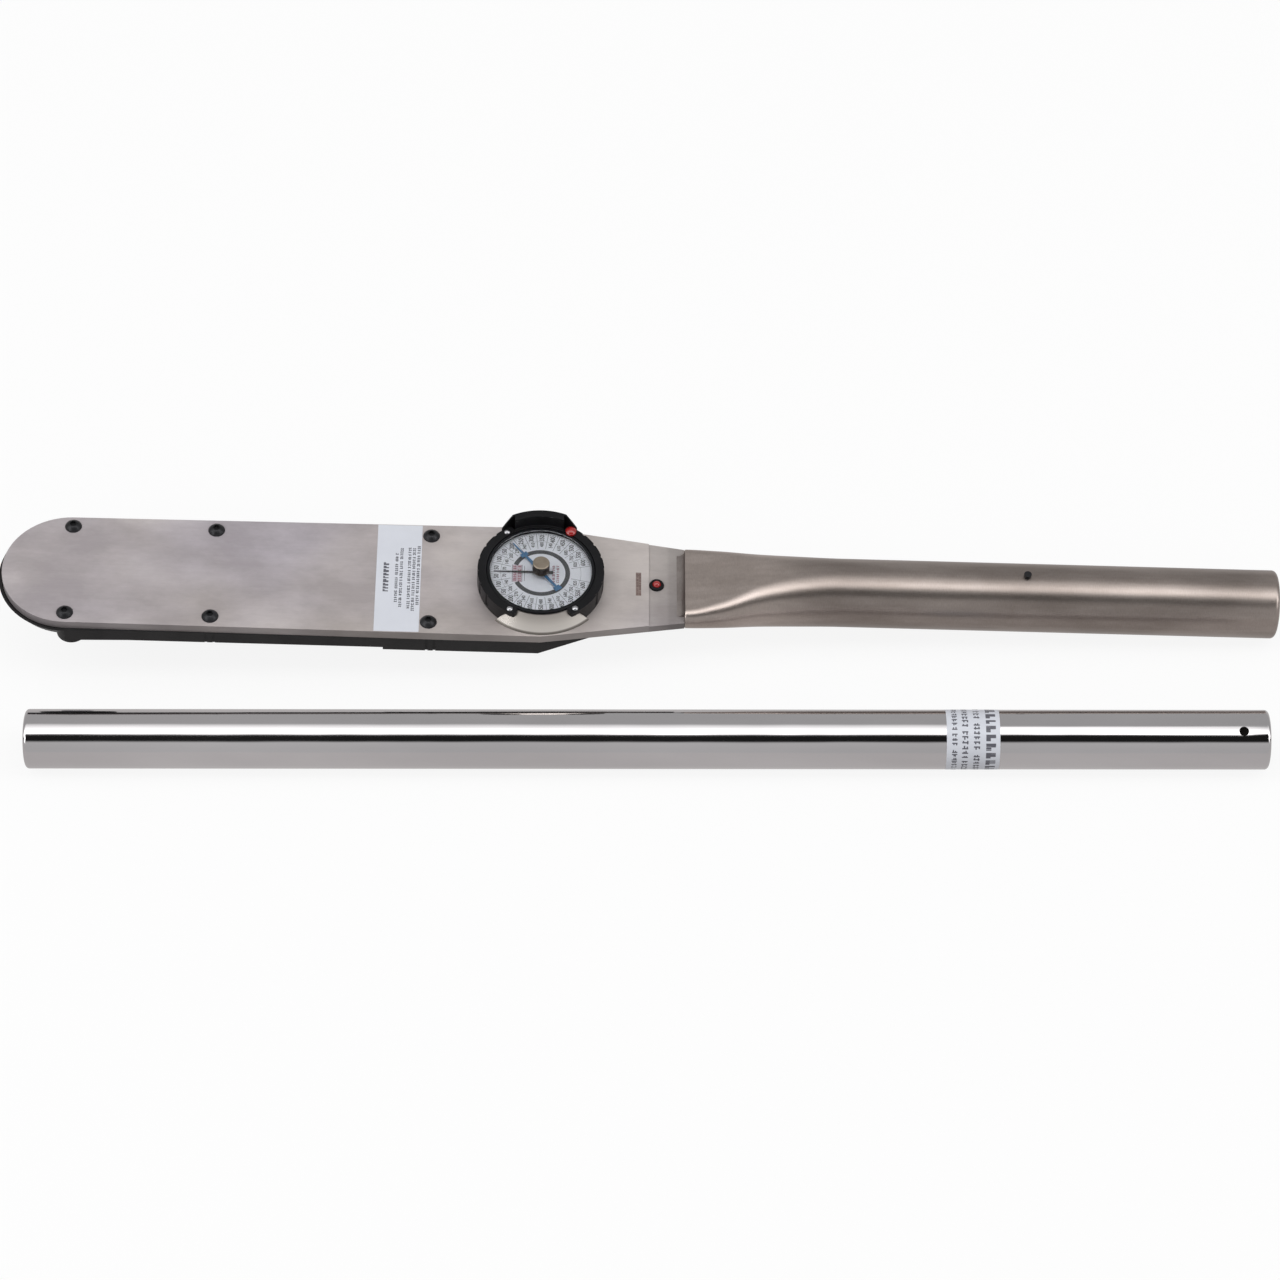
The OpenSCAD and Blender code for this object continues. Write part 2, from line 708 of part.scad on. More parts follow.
module far_hood() {
  color([0.1, 0.1, 0.11]) translate([0, 0, axis_z])
  translate([dial_x, 0, top_z]) rotate([0, 0, guard_turn]) difference() {
    intersection() {
      cylinder(h = hood_h, r = guard_r + 1.5);
      translate([0, 60, 0]) rotate([90, 0, 0]) linear_extrude(60) polygon([
        [-24.5, 0], [24.5, 0], [24.5, guard_h + 0.5], [17.5, hood_h], [-17.5, hood_h],
        [-24.5, guard_h + 0.5]
      ]);
    }
    translate([0, 0, -1]) cylinder(h = 40, r = case_r + 0.3);
    translate([0, 0, guard_h]) cylinder(h = 40, r = 37.3);
    // room for the guards and their screws inside the thin outer wall
    for (s = [-1, 1]) {
      translate([0, 0, -1]) intersection() {
        cylinder(h = 40, r = guard_r + 0.1);
        translate([s > 0 ? lug_x - 5.1 : -60, 0, 0]) cube([65.1 - lug_x, 60, 40]);
      }
    }
  }
}

module guard_screws() {
  color([0.85, 0.85, 0.85]) translate([0, 0, axis_z])
  translate([dial_x, 0, 0]) rotate([0, 0, guard_turn])
  for (sx = [-1, 1], sy = [-1, 1]) {
    translate([sx * lug_x, sy * lug_y, 0]) {
      translate([0, 0, top_z - 3.6]) cylinder(h = guard_h + 3.7, r = 1.2);
      if (sx < 0 || sy < 0) {
        translate([0, 0, top_z + guard_h]) intersection() {
          cylinder(h = 1.1, r = 2);
          translate([0, 0, -1.5]) sphere(r = 2.6);
        }
      }
    }
  }
}

module corner_lamp() {
  color([0.8, 0.1, 0.1]) translate([0, 0, axis_z])
  translate([dial_x, 0, top_z + guard_h + 0.12]) rotate([0, 0, guard_turn])
  translate([lug_x - 0.6, lug_y - 0.8, 0]) {
    cylinder(h = 1.4, r = 3.5);
    intersection() {
      translate([0, 0, -1.4]) sphere(r = 4.4);
      cylinder(h = 5, r = 3.5);
    }
  }
}

module signal_bezel() {
  color([0.1, 0.1, 0.1]) translate([0, 0, axis_z])
  translate([led_x, 0, 0]) difference() {
    union() {
      translate([0, 0, neck_top_z]) cylinder(h = 1.6, r1 = 5, r2 = 4.2);
      translate([0, 0, -7]) cylinder(h = 7.5 + neck_top_z, r = 3.95);
    }
    translate([0, 0, -8]) cylinder(h = 20, r = 2.85);
  }
}

module signal_lens() {
  color([0.85, 0.12, 0.12]) translate([0, 0, axis_z])
  translate([led_x, 0, 0]) {
    translate([0, 0, -6.5]) cylinder(h = 9.6, r = 2.8);
    translate([0, 0, 2.9]) intersection() {
      sphere(r = 2.8);
      cylinder(h = 5, r = 4);
    }
  }
}

module signal_nut() {
  color([0.6, 0.6, 0.6]) translate([0, 0, axis_z])
  translate([led_x, 0, under_z - 2.2]) difference() {
    cylinder(h = 2.2, r = 6, $fn = 6);
    translate([0, 0, -1]) cylinder(h = 5, r = 4);
  }
}

module signal_board() {
  color([0.1, 0.4, 0.2]) translate([0, 0, axis_z]) {
    translate([led_x - 8, -8, -9.4]) cube([16, 16, 1.2]);
    for (s = [-1, 1]) {
      translate([led_x + s * 1.2, 0, -8.3]) cylinder(h = 1.79, r = 0.3);
      translate([led_x - 5, s * 5, -8.3]) cube([3, 1.6, 1], center = true);
    }
  }
}

// round wire through a list of points
module wire(points, r) {
  for (i = [0 : len(points) - 2]) {
    d = points[i + 1] - points[i];
    translate(points[i]) rotate([0, acos(d[2] / norm(d)), atan2(d[1], d[0])]) cylinder(h = norm(d), r = r);
    if (i > 0) {
      translate(points[i]) sphere(r = r * 1.08);
    }
  }
}

module signal_wires() {
  color([0.75, 0.1, 0.1]) translate([0, 0, axis_z]) {
    wire([[cell_x + 12.5, cell_y - 2, -7], [300, -33, -7], [340, -19, -7], [led_x - 8.6, -5, -8.8]], 0.6);
    wire([[cell_x + 12.5, cell_y - 5, -7], [300, -36, -7], [341, -21.2, -7], [led_x - 8.6, -7.2, -8.8]], 0.6);
  }
}

module signal_switch() {
  color([0.2, 0.2, 0.22]) translate([0, 0, axis_z]) {
    translate([222, 8.6, -9]) cube([12, 7, 5.8]);
    translate([228, 9.1, -7.5]) rotate([90, 0, 0]) cylinder(h = 1.2, r = 0.8);
  }
}

module battery_holder() {
  color([0.16, 0.16, 0.17]) translate([0, 0, axis_z])
  translate([cell_x, cell_y, 0]) difference() {
    translate([0, 0, -13.5]) cylinder(h = 9, r = 12.3);
    translate([0, 0, -20]) cylinder(h = 13.6, r = 10.3);
    translate([0, 0, -8]) cylinder(h = 6, r = 0.9);
  }
}

module battery_contact() {
  color([0.8, 0.7, 0.4]) translate([0, 0, axis_z])
  translate([cell_x, cell_y, -6.9]) {
    cylinder(h = 0.4, r = 6);
    cylinder(h = 2.7, r = 0.8);
  }
}

module battery_cells() {
  color([0.8, 0.8, 0.8]) translate([0, 0, axis_z])
  for (i = [0, 1]) {
    translate([cell_x, cell_y, -13.45 + i * 3.25]) {
      cylinder(h = 0.4, r = 9);
      translate([0, 0, 0.4]) cylinder(h = 2.8, r = 10);
    }
  }
}

module battery_door() {
  color([0.12, 0.12, 0.13]) translate([0, 0, axis_z])
  translate([cell_x, cell_y, dial_floor_z]) difference() {
    cylinder(h = floor_t - 0.1, r = 10.97);
    translate([-7, -0.9, -1]) cube([14, 1.8, 1.6]);
  }
}

// places a shape drawn along X from the insertion end on the ground beside the handle
module on_ground() {
  translate([ext_from_x, -ext_side, ext_axis_z0 + ext_from_x * tan(rest_tilt)])
    rotate([0, -rest_tilt, 0])
      rotate([ext_hole_roll, 0, 0])
        children();
}

module extension_tube() {
  color([0.85, 0.85, 0.86]) translate([0, 0, axis_z])
  on_ground() difference() {
    rotate([0, 90, 0]) rotate_extrude() {
      translate([0, 2.5]) square([ext_r, ext_len - 5]);
      square([ext_r - 2.5, ext_len]);
      translate([ext_r - 2.5, 2.5]) circle(2.5);
      translate([ext_r - 2.5, ext_len - 2.5]) circle(2.5);
    }
    translate([-1, 0, 0]) rotate([0, 90, 0]) cylinder(h = ext_len + 2, r = ext_r - ext_wall);
    translate([ext_len - ext_hole_back, 0, 0]) cylinder(h = 30, r = 3.1);
    // shallow seat of the wrap-round label
    translate([ext_len - label_back - label_w, 0, 0]) rotate([0, 90, 0]) difference() {
      cylinder(h = label_w, r = ext_r + 2);
      translate([0, 0, -1]) cylinder(h = label_w + 2, r = ext_r - 0.1);
    }
  }
}

module extension_label() {
  color([0.93, 0.93, 0.94]) translate([0, 0, axis_z])
  on_ground() translate([ext_len - label_back - label_w, 0, 0]) rotate([0, 90, 0]) difference() {
    translate([0, 0, 0.05]) cylinder(h = label_w - 0.1, r = ext_r + 0.05);
    translate([0, 0, -1]) cylinder(h = label_w + 2, r = ext_r - 0.09);
  }
}

frame_plate();
plate_screws();
plate_nuts();
plate_label();
handle_tube();
handle_weld();
latch_body();
latch_ball();
latch_spring();
lower_housing();
head_boss();
drive_bushing();
torsion_bar();
square_drive();
drive_ball();
drive_spring();
sensing_arm();
arm_clamp_screw();
arm_pin();
stop_pins();
movement_bridge();
bridge_pillars();
bridge_screws();
sector_gear();
sector_arbor();
pinion_arbor();
pointer();
dial_case();
dial_face();
bezel_ring();
dial_glass();
memory_hand();
memory_knob();
guard_left();
guard_right();
far_hood();
guard_screws();
corner_lamp();
signal_bezel();
signal_lens();
signal_nut();
signal_board();
signal_wires();
signal_switch();
battery_holder();
battery_contact();
battery_cells();
battery_door();
extension_tube();
extension_label();
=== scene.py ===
import json
import math
import random

import bmesh
import bpy
from mathutils import Matrix, Vector

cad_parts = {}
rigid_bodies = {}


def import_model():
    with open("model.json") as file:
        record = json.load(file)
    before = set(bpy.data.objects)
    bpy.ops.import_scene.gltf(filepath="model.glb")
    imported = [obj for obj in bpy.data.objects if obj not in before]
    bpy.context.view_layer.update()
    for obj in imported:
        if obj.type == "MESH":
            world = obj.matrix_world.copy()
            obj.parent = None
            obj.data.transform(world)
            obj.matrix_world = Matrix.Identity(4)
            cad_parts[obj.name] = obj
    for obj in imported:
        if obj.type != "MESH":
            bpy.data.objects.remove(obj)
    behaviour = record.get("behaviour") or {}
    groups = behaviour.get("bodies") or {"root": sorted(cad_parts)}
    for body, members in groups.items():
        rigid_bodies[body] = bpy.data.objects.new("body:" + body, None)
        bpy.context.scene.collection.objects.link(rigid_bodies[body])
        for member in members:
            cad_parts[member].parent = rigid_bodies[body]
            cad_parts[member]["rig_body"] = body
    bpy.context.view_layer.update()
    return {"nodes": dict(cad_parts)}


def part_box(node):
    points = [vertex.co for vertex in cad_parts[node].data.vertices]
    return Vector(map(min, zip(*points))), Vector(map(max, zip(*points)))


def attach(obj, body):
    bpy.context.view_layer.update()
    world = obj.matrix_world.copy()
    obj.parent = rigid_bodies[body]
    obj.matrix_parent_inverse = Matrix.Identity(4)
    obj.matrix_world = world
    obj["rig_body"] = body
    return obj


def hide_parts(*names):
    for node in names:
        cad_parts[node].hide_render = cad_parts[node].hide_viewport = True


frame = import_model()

nodes = frame["nodes"]
rng = random.Random(7)
MM = 0.001


def centre(node):
    lo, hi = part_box(node)
    return (lo + hi) / 2


# ---------------------------------------------------------------- frame facts
PLATE_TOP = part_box("frame_plate")[1].z
tube_lo, tube_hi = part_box("handle_tube")
ext_lo, ext_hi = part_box("extension_tube")
face_lo, face_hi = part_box("dial_face")
drive_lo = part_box("square_drive")[0]
dial = (face_lo + face_hi) / 2
HANDLE_R = (tube_hi.z - tube_lo.z) / 2
AXIS_Z = (tube_hi.z + tube_lo.z) / 2
MOUTH_X = tube_lo.x
END_X = tube_hi.x
END_ROUND = 3 * MM            # radius of the handle's rounded end
NECK_X = MOUTH_X - 23 * MM    # where the plate's relieved neck starts
HALF_DRIVE = 9.525 * MM
EXT_R = 19.05 * MM

# the wrench rests on its drive and on the handle's end, so the ground is tilted about Y
TILT = math.atan((AXIS_Z - drive_lo.z - HANDLE_R) / (END_X - END_ROUND - HALF_DRIVE))
GROUND_Z = drive_lo.z - HALF_DRIVE * math.tan(TILT)
U = Vector((math.cos(TILT), 0, math.sin(TILT)))
N = Vector((-math.sin(TILT), 0, math.cos(TILT)))
GROUND = Matrix(((U.x, 0, N.x, 0), (0, 1, 0, 0), (U.z, 0, N.z, 0), (0, 0, 0, 1)))


# ---------------------------------------------------------------- materials
class Mat:
    """A small helper that wires a Principled material from procedural nodes."""

    def __init__(self, name):
        self.m = bpy.data.materials.new(name)
        self.m.use_nodes = True
        self.t = self.m.node_tree
        self.bsdf = self.t.nodes["Principled BSDF"]
        self.coord = self.t.nodes.new("ShaderNodeTexCoord")

    def node(self, kind, **props):
        n = self.t.nodes.new(kind)
        for k, v in props.items():
            setattr(n, k, v)
        return n

    def link(self, a, b):
        self.t.links.new(a, b)

    def set(self, **values):
        """Principled inputs by name, with _ for a space."""
        for key, value in values.items():
            name = key.replace("_", " ")
            self.bsdf.inputs[name].default_value = (*value, 1.0) if name.endswith("Color") else value

    def noise(self, scale=(1, 1, 1), size=1.0, detail=4.0, rough=0.55):
        mp = self.node("ShaderNodeMapping")
        mp.inputs["Scale"].default_value = scale
        self.link(self.coord.outputs["Object"], mp.inputs["Vector"])
        nz = self.node("ShaderNodeTexNoise")
        nz.inputs["Scale"].default_value = size
        nz.inputs["Detail"].default_value = detail
        nz.inputs["Roughness"].default_value = rough
        self.link(mp.outputs["Vector"], nz.inputs["Vector"])
        return nz.outputs["Fac"]

    def ramp(self, fac, stops):
        r = self.node("ShaderNodeValToRGB")
        e = r.color_ramp.elements
        while len(e) < len(stops):
            e.new(0.5)
        for i, (p, c) in enumerate(stops):
            e[i].position = p
            e[i].color = (*c, 1.0)
        self.link(fac, r.inputs["Fac"])
        return r.outputs["Color"]

    def fit(self, fac, lo, hi, a=0.3, b=0.7):
        """Maps a to b onto lo to hi."""
        r = self.node("ShaderNodeMapRange")
        r.inputs["From Min"].default_value = a
        r.inputs["From Max"].default_value = b
        r.inputs["To Min"].default_value = lo
        r.inputs["To Max"].default_value = hi
        self.link(fac, r.inputs["Value"])
        return r.outputs["Result"]

    def times(self, a, b):
        """Two colours multiplied."""
        x = self.node("ShaderNodeMix", data_type="RGBA", blend_type="MULTIPLY")
        x.inputs["Factor"].default_value = 1.0
        self.link(a, x.inputs["A"])
        self.link(b, x.inputs["B"])
        return x.outputs["Result"]

    def along(self, x0, x1, stops, tint=(1.0, 1.0, 1.0)):
        """A grey ramp that runs along X from x0 to x1 in the object's own space."""
        place = self.node("ShaderNodeSeparateXYZ")
        self.link(self.coord.outputs["Object"], place.inputs["Vector"])
        span = self.fit(place.outputs["X"], 0.0, 1.0, x0, x1)
        return self.ramp(span, [(at, (v * tint[0], v * tint[1], v * tint[2])) for at, v in stops])

    def upright(self, low, high):
        """Painted shade: low on faces that stand on end, high on faces that look up."""
        geo = self.node("ShaderNodeNewGeometry")
        part = self.node("ShaderNodeSeparateXYZ")
        self.link(geo.outputs["Normal"], part.inputs["Vector"])
        lean = self.fit(part.outputs["Z"], 0.0, 1.0, 0.3, 0.9)
        return self.ramp(lean, [(0.0, (low, low, low)), (1.0, (high, high, high))])

    def base(self, out):
        self.link(out, self.bsdf.inputs["Base Color"])

    def rough(self, out):
        self.link(out, self.bsdf.inputs["Roughness"])

    def bump(self, out, strength=0.2, distance=0.0001):
        b = self.node("ShaderNodeBump")
        b.inputs["Strength"].default_value = strength
        b.inputs["Distance"].default_value = distance
        self.link(out, b.inputs["Height"])
        self.link(b.outputs["Normal"], self.bsdf.inputs["Normal"])


def metal(name, light, dark, rough=(0.25, 0.4), grain=(1, 1, 1), grain_size=400.0, patch=14.0,
          bump=0.15, metallic=1.0, depth=0.00006, stretch=(1, 1, 1)):
    m = Mat(name)
    m.set(Metallic=metallic)
    cloud = m.noise(stretch, patch, 5.0, 0.6)
    lines = m.noise(grain, grain_size, 3.0, 0.6)
    col = m.ramp(cloud, [(0.3, dark), (0.7, light)])
    tint = m.ramp(lines, [(0.25, (0.86, 0.86, 0.86)), (0.75, (1.0, 1.0, 1.0))])
    m.base(m.times(col, tint))
    m.rough(m.fit(lines, *rough))
    m.bump(lines, bump, depth)
    return m


def ground_plate():
    """Surface-ground plate: warm and cool patches, streaks along its length, a duller relieved neck with painted
    shade deepening towards the handle tube, and painted shade on faces that stand on end.
    """
    m = Mat("plate_steel")
    m.set(Metallic=0.4)
    patch = m.noise((0.55, 1, 1), 24.0, 6.0, 0.6)
    warm = m.noise((0.7, 1, 1), 7.0, 3.0, 0.5)
    streak = m.noise((1, 14, 1), 26.0, 4.0, 0.6)
    grain = m.noise((1, 5, 5), 300.0, 3.0, 0.6)
    col = m.ramp(patch, [(0.36, (0.425, 0.395, 0.407)), (0.5, (0.51, 0.479, 0.495)),
                         (0.64, (0.595, 0.564, 0.58))])
    tone = m.ramp(warm, [(0.38, (0.97, 0.965, 1.03)), (0.62, (1.03, 1.01, 0.965))])
    lines = m.ramp(streak, [(0.3, (0.95, 0.95, 0.95)), (0.7, (1.0, 1.0, 1.0))])
    fine = m.ramp(grain, [(0.25, (0.93, 0.93, 0.93)), (0.75, (1.0, 1.0, 1.0))])
    # the neck steps down to a duller tone, and the further darkening towards the handle tube is painted shade of the
    # concave fillet
    neck = m.along(NECK_X - 3 * MM, MOUTH_X,
                   [(0.0, 1.0), (0.11, 1.0), (0.12, 0.82), (0.55, 0.74), (0.64, 0.64), (1.0, 0.60)],
                   (1.0, 0.985, 0.96))
    # the last layer here is painted shade on the plate's side faces
    for layer in (tone, lines, fine, neck, m.upright(0.62, 1.0)):
        col = m.times(col, layer)
    m.base(col)
    m.rough(m.fit(grain, 0.36, 0.46))
    m.bump(grain, 0.05, 0.00006)
    return m


def drawn_tube():
    """Satin tube steel, with painted light that keeps the flattened end paler than the round tube."""
    m = Mat("tube_steel")
    m.set(Metallic=1.0)
    cloud = m.noise((0.4, 1, 1), 26.0, 5.0, 0.6)
    lines = m.noise((6, 1, 1), 420.0, 3.0, 0.6)
    col = m.ramp(cloud, [(0.36, (0.44, 0.378, 0.345)), (0.64, (0.61, 0.53, 0.49))])
    streak = m.noise((0.6, 7, 7), 30.0, 4.0, 0.6)
    tint = m.ramp(lines, [(0.3, (0.84, 0.84, 0.84)), (0.7, (1.0, 1.0, 1.0))])
    drawn = m.ramp(streak, [(0.35, (0.90, 0.89, 0.88)), (0.65, (1.0, 1.0, 1.0))])
    # painted light: full tone over the flattened end, fading darker along the round tube
    mouth = m.along(MOUTH_X, MOUTH_X + 110 * MM, [(0.0, 1.0), (0.45, 1.0), (0.8, 0.74), (1.0, 0.72)])
    for layer in (tint, drawn, mouth):
        col = m.times(col, layer)
    m.base(col)
    m.rough(m.fit(lines, 0.28, 0.34))
    m.bump(lines, 0.05, 0.00006)
    return m


def plastic(name, light, dark, rough=(0.35, 0.55), size=900.0, bump=0.25, depth=0.00008, coat=0.0):
    m = Mat(name)
    m.set(Metallic=0.0)
    cloud = m.noise((1, 1, 1), 60.0, 4.0)
    fine = m.noise((1, 1, 1), size, 3.0)
    m.base(m.ramp(cloud, [(0.3, dark), (0.7, light)]))
    m.rough(m.fit(fine, *rough))
    m.bump(fine, bump, depth)
    m.set(Coat_Weight=coat, Coat_Roughness=0.15)
    return m


def spun_case():
    """Spun case steel: painted shade on the rolled foot, a painted sheen across the belly, and darker towards the top
    edge.
    """
    m = Mat("case_steel")
    m.set(Metallic=1.0)
    place = m.node("ShaderNodeSeparateXYZ")
    m.link(m.coord.outputs["Object"], place.inputs["Vector"])
    lo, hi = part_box("dial_case")
    height = m.fit(place.outputs["Z"], 0.0, 1.0, lo.z, hi.z)
    # painted light by height: painted shade at the foot, a painted sheen low on the belly, then darker towards the
    # top edge
    col = m.ramp(height, [(0.0, (0.16, 0.145, 0.13)), (0.10, (0.30, 0.275, 0.25)), (0.16, (0.86, 0.81, 0.76)),
                          (0.45, (0.80, 0.75, 0.70)), (0.8, (0.60, 0.56, 0.52)), (1.0, (0.52, 0.48, 0.45))])
    cloud = m.noise((1, 1, 1), 20.0, 1.0, 0.5)
    m.base(m.times(col, m.ramp(cloud, [(0.3, (0.95, 0.945, 0.94)), (0.7, (1.0, 1.0, 1.0))])))
    m.rough(m.fit(cloud, 0.27, 0.30))
    return m


M = {
    "plate": ground_plate(),
    "tube": drawn_tube(),
    "weld": metal("weld", (0.40, 0.355, 0.335), (0.28, 0.245, 0.23), (0.34, 0.44), (1, 1, 3), 500.0, 60.0),
    "chrome": metal("chrome", (0.71, 0.69, 0.70), (0.65, 0.625, 0.635), (0.07, 0.10), (0.25, 1, 1), 22.0, 8.0,
                    bump=1.0, depth=0.00035, stretch=(0.3, 1, 1)),
    "scale": metal("bare_tube_wall", (0.060, 0.055, 0.052), (0.035, 0.032, 0.030), (0.5, 0.65),
                   grain_size=500.0, patch=60.0, bump=0.2),
    "case": spun_case(),
    "black_steel": metal("black_oxide", (0.030, 0.030, 0.033), (0.015, 0.015, 0.017), (0.3, 0.45),
                         grain_size=900.0, patch=120.0, bump=0.2, metallic=0.6),
    "shell": plastic("black_shell", (0.020, 0.019, 0.0195), (0.013, 0.0125, 0.013), (0.4, 0.52),
                     700.0, 0.3, 0.0001),
    "door": plastic("battery_door_shell", (0.045, 0.043, 0.042), (0.032, 0.031, 0.031), (0.35, 0.45),
                    900.0, 0.2),
    "guard": plastic("black_guard", (0.0090, 0.0090, 0.0102), (0.0050, 0.0050, 0.0058), (0.34, 0.46),
                     1200.0, 0.25, 0.00006, 0.05),
    "bezel": plastic("black_bezel", (0.009, 0.010, 0.012), (0.005, 0.005, 0.006), (0.28, 0.36), 1500.0, 0.1),
    "label": plastic("label_film", (0.63, 0.65, 0.705), (0.60, 0.62, 0.675), (0.35, 0.45), 400.0, 0.04),
    "ink": plastic("label_ink", (0.12, 0.12, 0.14), (0.08, 0.08, 0.1), (0.4, 0.5), 500.0, 0.05),
    "face": plastic("dial_white", (0.84, 0.85, 0.89), (0.79, 0.80, 0.85), (0.5, 0.6), 500.0, 0.03),
    "dial_ink": plastic("dial_ink", (0.06, 0.06, 0.065), (0.04, 0.04, 0.045), (0.5, 0.6), 500.0, 0.05),
    "dial_grey": plastic("dial_grey", (0.24, 0.25, 0.27), (0.2, 0.2, 0.22), (0.5, 0.6), 500.0, 0.05),
    "blush": plastic("dial_blush", (0.62, 0.51, 0.56), (0.58, 0.48, 0.53), (0.5, 0.6), 500.0, 0.03),
    "rose": plastic("dial_rose", (0.38, 0.10, 0.15), (0.32, 0.08, 0.12), (0.5, 0.6), 500.0, 0.05),
    "legend": plastic("legend_etch", (0.17, 0.10, 0.09), (0.12, 0.07, 0.065), (0.4, 0.5), 500.0, 0.05),
    "field": plastic("legend_field", (0.26, 0.20, 0.18), (0.20, 0.15, 0.135), (0.45, 0.55), 500.0, 0.05),
    "black_paint": plastic("needle_black", (0.02, 0.02, 0.02), (0.012, 0.012, 0.012), (0.35, 0.5), 900.0, 0.1),
    "blue": plastic("hand_blue", (0.035, 0.165, 0.34), (0.025, 0.13, 0.28), (0.3, 0.45),
                    900.0, 0.1, 0.00005, 0.3),
    "knob": metal("knob_metal", (0.42, 0.36, 0.29), (0.33, 0.28, 0.22), (0.34, 0.46),
                  grain_size=700.0, patch=90.0),
    # a darker copy of the knob's metal, used as painted shade on its side faces
    "knob_painted_shade": metal("knob_painted_shade", (0.10, 0.085, 0.075), (0.05, 0.045, 0.04), (0.34, 0.46),
                       grain_size=700.0, patch=90.0),
    "steel": metal("ground_steel", (0.55, 0.55, 0.57), (0.45, 0.45, 0.47), (0.22, 0.35),
                   (1, 1, 5), 500.0, 60.0, 0.12),
    "bright": metal("bright_steel", (0.78, 0.78, 0.79), (0.70, 0.70, 0.71), (0.12, 0.22),
                    grain_size=600.0, patch=70.0, bump=0.05),
    "brass": metal("brass", (0.72, 0.55, 0.27), (0.6, 0.44, 0.2), (0.25, 0.38), (1, 6, 1), 600.0, 70.0, 0.1),
    "bronze": metal("sintered_bronze", (0.52, 0.34, 0.17), (0.42, 0.27, 0.13), (0.4, 0.55),
                    grain_size=1500.0, patch=90.0, bump=0.3),
    "alloy": metal("milled_alloy", (0.62, 0.62, 0.63), (0.54, 0.54, 0.55), (0.28, 0.4), (6, 1, 1), 400.0, 50.0),
    "board": plastic("circuit_board", (0.02, 0.16, 0.07), (0.015, 0.12, 0.05), (0.25, 0.35),
                     600.0, 0.1, 0.00005, 0.4),
    "wire": plastic("wire_sleeve", (0.45, 0.03, 0.03), (0.35, 0.02, 0.02), (0.4, 0.5), 900.0, 0.1),
    "red": plastic("red_lens", (0.40, 0.018, 0.018), (0.30, 0.010, 0.010), (0.12, 0.2),
                   500.0, 0.03, 0.00004, 0.6),
    "glass": Mat("dial_glass"),
}
for kind, level in (("shell", 0.22), ("guard", 0.15), ("bezel", 0.18)):
    M[kind].set(Specular_IOR_Level=level)
M["red"].set(Transmission_Weight=0.15, IOR=1.49, Emission_Color=(0.6, 0.03, 0.03), Emission_Strength=0.04)
M["glass"].set(Base_Color=(0.98, 0.99, 1.0), Metallic=0.0, IOR=1.45, Transmission_Weight=1.0)
M["glass"].rough(M["glass"].fit(M["glass"].noise((1, 1, 1), 30.0, 3.0), 0.0, 0.03))


# ---------------------------------------------------------------- mesh helpers
def finish_mesh(obj, material, body, angle=35.0):
    """Material, smooth shading with sharp edges past the angle, and the body it rides on."""
    obj.data.materials.clear()
    obj.data.materials.append(material.m)
    for p in obj.data.polygons:
        p.use_smooth = True
    obj.data.set_sharp_from_angle(angle=math.radians(angle))
    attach(obj, body)
    return obj


def new_object(name, bm):
    me = bpy.data.meshes.new(name)
    bm.to_mesh(me)
    bm.free()
    ob = bpy.data.objects.new(name, me)
    bpy.context.scene.collection.objects.link(ob)
    return ob


def body_name(node):
    return nodes[node]["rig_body"]


def refine(node, material, bevel=0.3, limit=32.0, segments=3):
    """A copy of a CAD node with welded corners and softly rounded edges, which stands for the node."""
    bm = bmesh.new()
    bm.from_mesh(nodes[node].data)
    bmesh.ops.remove_doubles(bm, verts=bm.verts, dist=2e-6)
    bmesh.ops.dissolve_limit(bm, angle_limit=math.radians(0.6), verts=bm.verts, edges=bm.edges)
    if bevel:
        sharp = [e for e in bm.edges if len(e.link_faces) == 2
                 and e.calc_face_angle(0) > math.radians(limit)]
        bmesh.ops.bevel(bm, geom=sharp, offset=bevel * MM, segments=segments, profile=0.5,
                        affect="EDGES", clamp_overlap=True)
    ob = new_object(node + "_worn", bm)
    finish_mesh(ob, material, body_name(node))
    flat = ob.modifiers.new("flat_faces", "WEIGHTED_NORMAL")
    flat.mode = "FACE_AREA"
    flat.weight = 90
    flat.keep_sharp = True
    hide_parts(node)
    return ob


def plain(node, material):
    """A CAD node kept as it is, with a material."""
    nodes[node].data.materials.clear()
    nodes[node].data.materials.append(material.m)


def ring_mesh(name, rings, looped=False):
    """Quads between rings of equal point count, with capped ends, or looped: the last ring is the first one again."""
    bm = bmesh.new()
    rows = [[bm.verts.new(p) for p in r] for r in rings]
    n = len(rows[0])
    for a, b in zip(rows, rows[1:]):
        for i in range(n):
            j = (i + 1) % n
            bm.faces.new([a[i], a[j], b[j], b[i]])
    if looped:
        bmesh.ops.remove_doubles(bm, verts=bm.verts, dist=1e-7)
    else:
        bm.faces.new(rows[0][::-1])
        bm.faces.new(rows[-1])
    bmesh.ops.recalc_face_normals(bm, faces=bm.faces)
    return new_object(name, bm)


def join(name, objects):
    """One new object in place of several."""
    bm = bmesh.new()
    for o in objects:
        bm.from_mesh(o.data)
        me = o.data
        bpy.data.objects.remove(o)
        bpy.data.meshes.remove(me)
    return new_object(name, bm)


